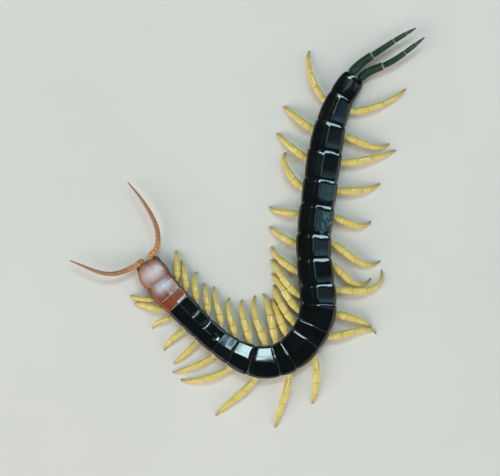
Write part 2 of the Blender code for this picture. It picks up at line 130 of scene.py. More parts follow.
def heading(route: Route, share: float) -> Vector:
    """Return the unit direction of a route at a share of its length."""
    return (route(share + HEADING_REACH) - route(share - HEADING_REACH)).normalized()


def sideways(along: Vector) -> Vector:
    """Return the level unit direction square to a course."""
    return Vector((along.y, -along.x, 0.0)).normalized()


def squared(side: float, rise: float, power: float) -> float:
    """Return how far out a rounded square lies in a direction; a higher power is squarer."""
    return (abs(side) ** power + abs(rise) ** power) ** (-1 / power)


def flesh_glow(weight: float, radius: Triple, depth: float = 0.4) -> dict[str, float | Triple]:
    """Return the shader's settings for light that sinks in to a depth in mm."""
    return {"Subsurface_Weight": weight, "Subsurface_Radius": radius, "Subsurface_Scale": depth * MM}


class Line:
    """A smooth line through a few points, read by the length along it."""

    def __init__(self, points: Sequence[Sequence[float]], step: float = 0.05) -> None:
        """Fit the line.

        Args:
            points: Stops in mm that the line passes through, in two or three dimensions.
            step: Spacing of its samples in mm.
        """
        samples = self.natural_spline(np.array(points, dtype=float), step)
        steps = np.linalg.norm(np.diff(samples, axis=0), axis=1)
        self.samples = samples
        self.lengths = np.concatenate(([0.0], np.cumsum(steps)))
        self.length = float(self.lengths[-1])

    @staticmethod
    def natural_spline(knots: np.ndarray, step: float) -> np.ndarray:
        """Return samples of the natural cubic spline.

        Args:
            knots: Stops, one to a row.
            step: Spacing of the samples.

        Returns:
            The samples, one to a row.
        """
        spans = np.linalg.norm(np.diff(knots, axis=0), axis=1)
        ends = np.concatenate(([0.0], np.cumsum(spans)))
        count = len(knots)
        matrix = np.eye(count)
        slopes = np.zeros_like(knots)
        for i in range(1, count - 1):
            matrix[i, i - 1:i + 2] = (spans[i - 1], 2 * (spans[i - 1] + spans[i]), spans[i])
            ahead = (knots[i + 1] - knots[i]) / spans[i]
            behind = (knots[i] - knots[i - 1]) / spans[i - 1]
            slopes[i] = 6 * (ahead - behind)
        bends = np.linalg.solve(matrix, slopes)
        samples = []
        for t in np.linspace(0.0, ends[-1], int(ends[-1] / step) + 1):
            i = min(int(np.searchsorted(ends, t, side="right")) - 1, count - 2)
            a = (ends[i + 1] - t) / spans[i]
            b = 1 - a
            curve = (a ** 3 - a) * bends[i] + (b ** 3 - b) * bends[i + 1]
            samples.append(a * knots[i] + b * knots[i + 1] + curve * spans[i] ** 2 / 6)
        return np.array(samples)

    def point(self, length: float) -> Vector:
        """Return the point at a length, carried on straight past both ends."""
        values = [np.interp(length, self.lengths, column) for column in self.samples.T]
        spot = Vector(values).to_3d()
        past = length - min(max(length, 0.0), self.length)
        return spot + self.direction(length) * past if past else spot

    def at(self, share: float) -> Vector:
        """Return the point at a share of the whole length."""
        return self.point(share * self.length)

    def direction(self, length: float, reach: float = 0.5) -> Vector:
        """Return the unit direction toward the line's end."""
        rows = []
        for at in (length - reach, length + reach):
            at = min(max(at, 0.0), self.length)
            rows.append(Vector([np.interp(at, self.lengths, column) for column in self.samples.T]))
        return (rows[1] - rows[0]).to_3d().normalized()


@dataclass(frozen=True)
class BodyPlan:
    """The trunk's middle line and the sizes of its plates, the same as in the solids."""

    middle: tuple[Pair, ...] = (
        (-35.2, -12.5), (-31.3, -19.3), (-24.3, -27.1), (-15.7, -35.7), (-5.2, -43.9),
        (4.9, -47.5), (13.8, -45.3), (20.0, -39.5), (24.2, -29.9), (24.0, -20.9),
        (22.9, -7.5), (24.3, 7.1), (27.1, 26.5), (32.9, 45.7), (37.4, 52.7),
    )
    head_length: float = 7.9
    head_width: float = 10.8
    segment_lengths: tuple[float, ...] = (
        6.2, 3.9, 6.8, 5.1, 7.4, 6.0, 6.9, 9.1, 4.5, 8.4, 5.0,
        7.7, 6.7, 9.3, 8.4, 10.4, 9.0, 10.6, 9.8, 10.3, 8.4,
    )
    widths: Places = (
        (0.0, 10.8), (2.0, 10.0), (4.0, 9.2), (5.5, 9.3), (7.2, 11.3), (9.5, 12.3), (12.0, 13.1),
        (14.0, 12.5), (18.0, 12.3), (19.0, 11.0), (20.0, 9.4), (21.0, 8.9),
    )
    height_to_width: float = 0.44
    belly_level: float = 1.1
    wall_share: float = 0.88
    wall_middle: float = 0.335

    def __post_init__(self) -> None:
        """Work out the line and the boundaries of the segments once."""
        line = Line(self.middle)
        scale = (line.length - self.head_length) / sum(self.segment_lengths)
        passed = np.concatenate(([0.0], np.cumsum(self.segment_lengths)))
        object.__setattr__(self, "line", line)
        object.__setattr__(self, "boundaries", self.head_length + scale * passed)

    @property
    def count(self) -> int:
        """Return the number of leg-bearing segments."""
        return len(self.segment_lengths)

    @property
    def end(self) -> float:
        """Return the length at the last segment's end."""
        return float(self.boundaries[-1])

    def station(self, segment: int, share: float) -> float:
        """Return the length along the body at a share of a segment, counted from 1."""
        front, rear = self.boundaries[segment - 1], self.boundaries[segment]
        return float(front + share * (rear - front))

    def width(self, length: float) -> float:
        """Return the width of the tergites at a length along the body."""
        passed = np.interp(length, self.boundaries, np.arange(self.count + 1))
        return between(passed, *zip(*self.widths))

    def height(self, length: float) -> float:
        """Return the height of the trunk above its belly at a length along the body."""
        return self.width(length) * self.height_to_width

    def frame(self, length: float) -> tuple[Vector, Vector, Vector]:
        """Return the point on the middle line, the way to the tail and the way to the left."""
        tailward = self.line.direction(length)
        return self.line.point(length), tailward, Vector((tailward.y, -tailward.x, 0.0))

    def spot(self, length: float, aside: float, level: float) -> Vector:
        """Return the point a distance left of the middle line at a level, in mm."""
        point, _, left = self.frame(length)
        return point + left * aside + UP * level


BODY = BodyPlan()


class Wave:
    """A shader number or colour that takes part in plain arithmetic."""

    def __init__(self, paint: Paint, socket: bpy.types.NodeSocket) -> None:
        """Wrap an output socket of a paint's node tree."""
        self.paint = paint
        self.socket = socket

    def _with(self, operation: str, *others: Wave | float, clamp: bool = False) -> Wave:
        """Return a Math node's result on this value and others."""
        settings = {"operation": operation, "use_clamp": clamp}
        return self.paint.node("ShaderNodeMath", settings, dict(enumerate((self, *others))))

    def __add__(self, other: Wave | float) -> Wave:
        """Return the sum."""
        return self._with("ADD", other)

    def __sub__(self, other: Wave | float) -> Wave:
        """Return the difference."""
        return self._with("SUBTRACT", other)

    def __rsub__(self, other: float) -> Wave:
        """Return the difference from a number."""
        settings = {"operation": "SUBTRACT"}
        return self.paint.node("ShaderNodeMath", settings, {0: other, 1: self})

    def __mul__(self, other: Wave | float) -> Wave:
        """Return the product."""
        return self._with("MULTIPLY", other)

    __radd__ = __add__
    __rmul__ = __mul__

    def __abs__(self) -> Wave:
        """Return the size without its sign."""
        return self._with("ABSOLUTE")

    def most(self, other: Wave | float) -> Wave:
        """Return the larger of two values."""
        return self._with("MAXIMUM", other)

    def fraction(self) -> Wave:
        """Return the part after the point."""
        return self._with("FRACT")

    def limited(self) -> Wave:
        """Return the value held between 0 and 1."""
        return self._with("ADD", 0.0, clamp=True)

    def rise(self, low: float, high: float) -> Wave:
        """Return 0 below low and 1 above high, with a smooth step between."""
        settings = {"interpolation_type": "SMOOTHSTEP"}
        ends = {"Value": self, "From Min": low, "From Max": high}
        return self.paint.node("ShaderNodeMapRange", settings, ends)

    def band(self, centre: float, width: float) -> Wave:
        """Return 1 at a centre, falling smoothly to 0 a width away on both sides."""
        return 1 - abs(self - centre).rise(0.0, width)

    def seam(self, root: Pair, end: Pair) -> Wave:
        """Return 1 at the joints, for a coordinate that counts the articles.

        Args:
            root: Share of an article where its root's seam starts to fade, and where it is gone.
            end: Share where its end's seam starts, and where it is full.

        Returns:
            The seams as a wave.
        """
        local = self.fraction()
        return (1 - local.rise(*root)).most(local.rise(*end))


class Paint:
    """One procedural material, built from plain expressions on its nodes."""

    def __init__(self, name: str) -> None:
        """Start a material with its shader and output."""
        self.material = bpy.data.materials.new(name)
        self.material.use_nodes = True
        self.tree = self.material.node_tree
        self.shader = self.tree.nodes["Principled BSDF"]

    def node(self, kind: str, settings: dict, values: dict, output: int | str = 0) -> Wave:
        """Add a node.

        Args:
            kind: The node's type.
            settings: Its own properties, set before the sockets.
            values: Numbers, colours or waves for its inputs, by name or number.
            output: Which output is wanted.

        Returns:
            The output as a wave.
        """
        made = self.tree.nodes.new(kind)
        for key, value in settings.items():
            setattr(made, key, value)
        for key, value in values.items():
            self.feed(made.inputs[key], value)
        return Wave(self, made.outputs[output])

    def feed(self, socket: bpy.types.NodeSocket, value: Wave | float | Sequence[float]) -> None:
        """Link or set an input."""
        if isinstance(value, Wave):
            self.tree.links.new(value.socket, socket)
        elif isinstance(value, tuple) and len(value) == 3 and socket.type == "RGBA":
            socket.default_value = (*value, 1.0)
        else:
            socket.default_value = value

    def lie(self) -> tuple[Wave, Wave, Wave]:
        """Return a piece's own coordinates: across, along and the number of its part."""
        own = self.node("ShaderNodeAttribute", {"attribute_name": LIE}, {}, "Vector")
        split = self.tree.nodes.new("ShaderNodeSeparateXYZ")
        self.tree.links.new(own.socket, split.inputs[0])
        return tuple(Wave(self, output) for output in split.outputs)

    def place(self) -> Wave:
        """Return Object coordinates, in metres."""
        return self.node("ShaderNodeTexCoord", {}, {}, "Object")

    def cloud(self, size: float, detail: float = 3.0, rough: float = 0.55) -> Wave:
        """Return soft noise whose lumps have a size in mm."""
        values = {"Vector": self.place(), "Scale": 1 / (size * MM), "Detail": detail, "Roughness": rough}
        return self.node("ShaderNodeTexNoise", {}, values)

    def cells(self, size: float, feature: str = "F1") -> Wave:
        """Return the distance to the nearest of scattered points, a size in mm apart."""
        values = {"Vector": self.place(), "Scale": 1 / (size * MM)}
        return self.node("ShaderNodeTexVoronoi", {"feature": feature}, values, "Distance")

    def mix(self, share: Wave | float, first: Wave | Colour, second: Wave | Colour) -> Wave:
        """Return a colour between two."""
        made = self.tree.nodes.new("ShaderNodeMix")
        made.data_type = "RGBA"
        self.feed(made.inputs[0], share)
        self.feed(made.inputs[6], first)
        self.feed(made.inputs[7], second)
        return Wave(self, made.outputs[2])

    def relief(self, height: Wave, depth: float, strength: float = 1.0) -> Wave:
        """Return a bumped normal.

        Args:
            height: The relief, from 0 to about 1.
            depth: How deep 1 is, in mm.
            strength: Share of the effect.

        Returns:
            The normal.
        """
        values = {"Height": height, "Distance": depth * MM, "Strength": strength}
        return self.node("ShaderNodeBump", {}, values, "Normal")

    def dress(self, **sockets: Wave | float | Colour) -> Material:
        """Set the shader's inputs, with underscores for the spaces in their names."""
        for name, value in sockets.items():
            self.feed(self.shader.inputs[name.replace("_", " ")], value)
        return self.material


@dataclass(frozen=True)
class BlackShell:
    """Near-black, very glossy tergite with a blue-green cast, and a pale blue painted reflection on the
    plates around the sixteenth.
    """

    deep: Colour = (0.0022, 0.0028, 0.0026)
    sheen: Colour = (0.0024, 0.0052, 0.0058)
    rim: Colour = (0.022, 0.017, 0.010)
    # Pale blue of the painted reflection.
    painted_blue_reflection: Colour = (0.045, 0.095, 0.125)
    suture: float = 0.30
    suture_width: float = 0.018
    shine: float = 0.065
    relief_depth: float = 0.10
    # Plate numbers between which the sutures deepen, and between which the dull margin narrows.
    sutures_deepen: Pair = (5.5, 8.5)
    margins_narrow: Pair = (6.0, 7.0)
    # Plates that differ from their neighbours: the number in the middle, and the reach in plates.
    mottled_plates: Pair = (16.2, 1.7)
    # The plates that carry the painted blue reflection.
    painted_reflection_plates: Pair = (16.0, 1.6)
    sunlit_plates: Pair = (6.7, 1.5)
    soft_plates: Pair = (6.0, 0.6)

    def build(self) -> Material:
        """Return the material, whose part number counts the plates."""
        paint = Paint("black_shell")
        across, along, number = paint.lie()
        aside = abs(across)
        clouds = paint.cloud(5.0)
        ripple = paint.cloud(1.1, 2.0)
        patches = paint.cloud(1.3)
        pits = paint.cells(0.55).rise(0.0, 0.30)
        groove = abs(aside - self.suture).rise(0.0, self.suture_width)
        groove = 1 - (1 - groove) * (0.03 + number.rise(*self.sutures_deepen) * 0.77)
        furrow = 1 - along.band(0.13, 0.03) * 0.5
        mottled = number.band(*self.mottled_plates) * across.rise(0.25, 0.40)
        sunlit = number.band(*self.sunlit_plates) * (1 - across).rise(1.05, 1.25)

        edge = along.rise(0.955, 0.995).most(aside.rise(0.955, 1.0) * 0.5)
        # Painted reflection: pale blue patches in the base colour of the plates around the sixteenth stand in
        # for a reflected blue light.
        painted_reflection_share = patches.rise(0.46, 0.62) * mottled * (1 - along.rise(0.45, 0.95) * 0.6)
        colour = paint.mix(clouds.rise(0.35, 0.7), self.deep, self.sheen)
        colour = paint.mix(edge * 0.75, colour, self.rim)
        colour = paint.mix(painted_reflection_share * number.band(*self.painted_reflection_plates), colour, self.painted_blue_reflection)

        foremost = 1 - number.rise(*self.margins_narrow)
        margin = aside.rise(0.84, 0.92).most(aside.rise(0.76, 0.85) * foremost)
        shine = self.shine + clouds * 0.06 + (1 - pits) * 0.05 + margin * 0.22
        shine = shine + sunlit * (1 - along.rise(0.05, 0.50)) * 0.13
        shine = shine + number.band(*self.soft_plates) * 0.07
        shine = shine + patches.rise(0.4, 0.7) * mottled * 0.10

        height = ripple * 0.14 + clouds * 0.45 + groove * 0.14 + furrow * 0.12 + pits * 0.02
        height = height + patches * mottled * 1.3 + patches * sunlit * 0.30
        coat = 0.3 + (patches.rise(0.42, 0.56) + 0.4) * mottled * 0.5
        return paint.dress(
            Base_Color=colour, Roughness=shine, Normal=paint.relief(height, self.relief_depth, 0.55),
            Specular_IOR_Level=0.6, Coat_Weight=coat, Coat_Roughness=0.05,
        )


@dataclass(frozen=True)
class RedShell:
    """Glossy red-orange shell of the head and the first two tergites, mottled chestnut at random, with
    painted chestnut shade toward its sides and rear edges and a painted milky highlight.
    """

    head: Colour = (0.27, 0.095, 0.045)
    front: Colour = (0.36, 0.15, 0.070)
    first: Colour = (0.24, 0.062, 0.024)
    second: Colour = (0.26, 0.056, 0.017)
    # Dark brown of the random mottling and of the painted shade.
    chestnut: Colour = (0.085, 0.020, 0.008)
    # Pale colours of the painted highlight, pinkish on the head and bluish on the trunk plates.
    painted_highlight: Colour = (0.70, 0.60, 0.66)
    painted_cool_highlight: Colour = (0.66, 0.64, 0.76)
    suture: float = 0.30
    suture_width: float = 0.018
    shine: float = 0.22

    def build(self) -> Material:
        """Return the material, whose part number is 0 on the head and 1 or 2 on the trunk."""
        paint = Paint("red_shell")
        across, along, number = paint.lie()
        clouds = paint.cloud(3.2)
        grain = paint.cloud(0.5, 2.0)
        pits = paint.cells(0.48).rise(0.02, 0.26)
        aside = abs(across)
        on_trunk = number.rise(0.2, 0.8)
        past_head = number.rise(0.3, 0.9)
        on_second = number.rise(1.3, 1.9)

        front = (1 - on_trunk) * (1 - along.rise(0.05, 0.5))
        colour = paint.mix(past_head, self.head, self.first)
        colour = paint.mix(on_second, colour, self.second)
        colour = paint.mix(front * 0.7, colour, self.front)
        # Painted shade: the shell is darkened toward its sides and its rear edge, and random clouds add
        # darker mottling.
        mottle_and_painted_shade = (aside.rise(0.72, 1.0) * 0.55).most(along.rise(0.90, 1.0) * 0.7)
        mottle_and_painted_shade = (mottle_and_painted_shade + clouds.rise(0.45, 0.75) * 0.28).limited()
        colour = paint.mix(mottle_and_painted_shade, colour, self.chestnut)

        # Painted highlight: a milky pale patch in the middle of the head and the first tergite, and pale
        # lines along the middle of the red plates' rear edges, stand in for soft reflections.
        rearward = along + past_head * 0.17
        painted_highlight_share = (1 - (aside + clouds * 0.3).rise(0.30, 1.08)) * rearward.band(0.54, 0.50)
        painted_highlight_share = painted_highlight_share * (1 - number.rise(1.2, 1.9)) * 0.84
        painted_highlight_share = painted_highlight_share.most(along.band(0.965, 0.03) * (1 - aside.rise(0.5, 0.95)) * 0.7)
        painted_highlight = paint.mix(past_head, self.painted_highlight, self.painted_cool_highlight)
        colour = paint.mix(painted_highlight_share, colour, painted_highlight)

        polish = 1 - along.rise(0.84, 0.92) * 0.65
        shine = self.shine - on_second * 0.12 + clouds * 0.14 + (1 - pits) * 0.12
        groove = abs(aside - self.suture).rise(0.0, self.suture_width)
        cut = 1 - (1 - groove) * (on_trunk + (1 - on_trunk) * along.rise(0.66, 0.80) * 0.7)
        height = clouds * 0.5 + grain * 0.16 + pits * 0.12 + cut * 0.5
        return paint.dress(
            Base_Color=colour, Roughness=shine * polish, Normal=paint.relief(height, 0.09, 0.5),
            Specular_IOR_Level=0.6, Coat_Weight=0.25, Coat_Roughness=0.18,
            **flesh_glow(0.12, (1.0, 0.25, 0.1)),
        )


@dataclass(frozen=True)
class LegCuticle:
    """Satin yellow cuticle, darker in the joints, browner to the tip, with a dark claw.

    The along coordinate counts the articles: 0 to 1 is the coxa, 7 to 8 the claw.
    """

    body: Colour = (0.75, 0.61, 0.18)
    warm: Colour = (0.68, 0.49, 0.11)
    pale: Colour = (0.80, 0.73, 0.38)
    joint: Colour = (0.20, 0.10, 0.022)
    tip: Colour = (0.42, 0.27, 0.060)
    claw: Colour = (0.018, 0.008, 0.004)
    claw_start: float = 7.0
    tip_start: float = 4.6
    shine: float = 0.22

    def build(self) -> Material:
        """Return the material."""
        paint = Paint("leg_cuticle")
        _, along, _ = paint.lie()
        clouds = paint.cloud(2.4)
        grain = paint.cloud(0.35, 2.0)
        seam = along.seam((0.0, 0.045), (0.965, 1.0))
        dots = 1 - paint.cells(0.9).rise(0.05, 0.16)
        colour = paint.mix(clouds.rise(0.35, 0.75), self.body, self.warm)
        colour = paint.mix((1 - along.rise(0.6, 2.4)) * 0.65, colour, self.pale)
        colour = paint.mix(along.rise(self.tip_start, self.claw_start) * 0.85, colour, self.tip)
        colour = paint.mix(dots * 0.22, colour, self.joint)
        colour = paint.mix(seam * 0.55, colour, self.joint)
        colour = paint.mix(along.rise(self.claw_start, self.claw_start + 0.25), colour, self.claw)
        shine = self.shine + clouds * 0.10 + seam * 0.15
        height = clouds * 0.4 + grain * 0.22
        return paint.dress(
            Base_Color=colour, Roughness=shine, Normal=paint.relief(height, 0.06, 0.5),
            Specular_IOR_Level=0.5, Coat_Weight=0.4, Coat_Roughness=0.10,
            **flesh_glow(0.18, (1.0, 0.6, 0.15), 0.5),
        )


@dataclass(frozen=True)
class TerminalCuticle:
    """Glossy dark green cuticle of the last legs, with thin pale rings at the joints."""

    body: Colour = (0.010, 0.030, 0.020)
    moss: Colour = (0.022, 0.050, 0.026)
    ring: Colour = (0.34, 0.36, 0.24)
    outer: Colour = (0.060, 0.072, 0.040)
    claw: Colour = (0.016, 0.009, 0.005)

    def build(self) -> Material:
        """Return the material, whose along coordinate counts the articles."""
        paint = Paint("terminal_cuticle")
        _, along, _ = paint.lie()
        clouds = paint.cloud(2.6)
        grain = paint.cloud(0.4, 2.0)
        pits = paint.cells(0.5).rise(0.03, 0.24)
        between_ends = along.rise(0.4, 0.9) * (1 - along.rise(4.3, 4.7))
        ring = along.seam((0.012, 0.05), (0.972, 0.992)) * between_ends
        colour = paint.mix(clouds.rise(0.35, 0.7), self.body, self.moss)
        colour = paint.mix(along.rise(2.0, 5.0) * 0.55, colour, self.outer)
        colour = paint.mix(ring * 0.8, colour, self.ring)
        colour = paint.mix(along.rise(5.0, 5.2), colour, self.claw)
        height = clouds * 0.4 + grain * 0.16 + pits * 0.16
        return paint.dress(
            Base_Color=colour, Roughness=0.24 + clouds * 0.12 + (1 - pits) * 0.12,
            Normal=paint.relief(height, 0.07, 0.5), Specular_IOR_Level=0.55, Coat_Weight=0.15,
            Coat_Roughness=0.15,
        )


@dataclass(frozen=True)
class AntennaCuticle:
    """Orange-brown antenna, glossy on the first articles and finely downy beyond."""

    base: Colour = (0.58, 0.27, 0.085)
    outer: Colour = (0.40, 0.180, 0.075)
    joint: Colour = (0.13, 0.036, 0.010)
    smooth_articles: float = 5.0

    def build(self) -> Material:
        """Return the material, whose along coordinate counts the articles."""
        paint = Paint("antenna_cuticle")
        _, along, _ = paint.lie()
        seam = along.seam((0.0, 0.10), (0.93, 1.0))
        down = paint.cloud(0.11, 2.0)
        clouds = paint.cloud(2.0)
        hairy = along.rise(self.smooth_articles, self.smooth_articles + 2.0)
        colour = paint.mix(along.rise(0.5, 9.0), self.base, self.outer)
        colour = paint.mix(clouds.rise(0.45, 0.8) * 0.25, colour, self.joint)
        colour = paint.mix(seam * 0.7, colour, self.joint)
        height = down * (0.1 + hairy * 0.9)
        return paint.dress(
            Base_Color=colour, Roughness=0.24 + hairy * 0.14 + clouds * 0.08,
            Normal=paint.relief(height, 0.05, 0.45), Specular_IOR_Level=0.6,
            Coat_Weight=0.5, Coat_Roughness=0.16, **flesh_glow(0.15, (1.0, 0.4, 0.15)),
        )


@dataclass(frozen=True)
class FangHorn:
    """Red-brown poison claw that darkens to a polished black point."""

    root: Colour = (0.30, 0.075, 0.022)
    middle: Colour = (0.13, 0.028, 0.010)
    point: Colour = (0.010, 0.005, 0.004)

    def build(self) -> Material:
        """Return the material, whose along coordinate counts the articles."""
        paint = Paint("fang_horn")
        _, along, _ = paint.lie()
        seam = along.seam((0.0, 0.05), (0.96, 1.0)) * (1 - along.rise(3.0, 3.2))
        clouds = paint.cloud(1.6)
        colour = paint.mix(along.rise(0.3, 3.1), self.root, self.middle)
        colour = paint.mix(clouds.rise(0.4, 0.8) * 0.35, colour, self.middle)
        colour = paint.mix((seam * 0.6).most(along.rise(3.15, 3.7)), colour, self.point)
        return paint.dress(
            Base_Color=colour, Roughness=0.20 + clouds * 0.10,
            Normal=paint.relief(clouds * 0.6 + paint.cloud(0.4) * 0.2, 0.05, 0.5),
            Specular_IOR_Level=0.6, Coat_Weight=0.3, Coat_Roughness=0.1,
        )


@dataclass(frozen=True)
class SoftSkin:
    """Dull, folded skin between the plates, olive on the sides and paler on the belly."""

    side: Colour = (0.050, 0.045, 0.026)
    # Dark colour of the random mottling and of the painted shade in the creases.
    dark_mottle_and_crease_shade: Colour = (0.012, 0.011, 0.009)
    belly: Colour = (0.23, 0.165, 0.080)

    def build(self) -> Material:
        """Return the material, whose across coordinate runs from 0 on the belly to 1 on the back."""
        paint = Paint("soft_skin")
        across, _, _ = paint.lie()
        clouds = paint.cloud(1.8)
        creases = paint.cells(0.42, "DISTANCE_TO_EDGE").rise(0.0, 0.22)
        grain = paint.cloud(0.22, 2.0)
        colour = paint.mix(across.rise(0.22, 0.42), self.belly, self.side)
        colour = paint.mix(clouds.rise(0.4, 0.7) * 0.5, colour, self.dark_mottle_and_crease_shade)
        # Painted shade: the skin is darkened along its creases.
        colour = paint.mix((1 - creases) * 0.20, colour, self.dark_mottle_and_crease_shade)
        height = creases * 0.28 + clouds * 0.5 + grain * 0.2
        return paint.dress(
            Base_Color=colour, Roughness=0.48 + clouds * 0.14, Normal=paint.relief(height, 0.10, 0.7),
            Specular_IOR_Level=0.4, **flesh_glow(0.1, (1.0, 0.6, 0.3)),
        )


@dataclass(frozen=True)
class BellyPlate:
    """Satin amber-brown sternite with two long sutures."""

    body: Colour = (0.30, 0.17, 0.050)
    dusk: Colour = (0.12, 0.075, 0.034)
    red: Colour = (0.30, 0.085, 0.028)
    suture: float = 0.40
    suture_width: float = 0.025

    def build(self) -> Material:
        """Return the material, whose part number counts the segments."""
        paint = Paint("belly_plate")
        across, along, number = paint.lie()
        clouds = paint.cloud(2.6)
        pits = paint.cells(0.5).rise(0.02, 0.24)
        aside = abs(across)
        groove = abs(aside - self.suture).rise(0.0, self.suture_width)
        edge = aside.rise(0.8, 1.0).most(along.rise(0.88, 1.0))
        colour = paint.mix(number.rise(2.0, 4.0), self.red, self.body)
        colour = paint.mix((clouds.rise(0.4, 0.75) * 0.5 + edge * 0.5).limited(), colour, self.dusk)
        height = clouds * 0.4 + groove * 0.6 + pits * 0.12
        return paint.dress(
            Base_Color=colour, Roughness=0.28 + clouds * 0.12, Normal=paint.relief(height, 0.08, 0.6),
            Specular_IOR_Level=0.5, **flesh_glow(0.1, (1.0, 0.5, 0.2)),
        )


@dataclass(frozen=True)
class FaceFlesh:
    """Soft orange-brown skin of the face and the mouthparts."""

    body: Colour = (0.36, 0.16, 0.065)
    dusk: Colour = (0.17, 0.055, 0.022)

    def build(self) -> Material:
        """Return the material."""
        paint = Paint("face_flesh")
        clouds = paint.cloud(1.2)
        grain = paint.cloud(0.25, 2.0)
        colour = paint.mix(clouds.rise(0.35, 0.75) * 0.7, self.body, self.dusk)
        return paint.dress(
            Base_Color=colour, Roughness=0.38 + clouds * 0.12,
            Normal=paint.relief(clouds * 0.5 + grain * 0.25, 0.07, 0.6), Specular_IOR_Level=0.45,
            **flesh_glow(0.15, (1.0, 0.4, 0.2)),
        )


@dataclass(frozen=True)
class EyeLens:
    """Polished black bead of a simple eye, with a faint amber depth."""

    deep: Colour = (0.004, 0.004, 0.005)
    glow: Colour = (0.040, 0.016, 0.006)

    def build(self) -> Material:
        """Return the material."""
        paint = Paint("eye_lens")
        clouds = paint.cloud(0.3)
        colour = paint.mix(clouds.rise(0.5, 0.9), self.deep, self.glow)
        return paint.dress(
            Base_Color=colour, Roughness=0.05 + clouds * 0.04, Specular_IOR_Level=0.7,
            Coat_Weight=0.6, Coat_Roughness=0.03,
        )


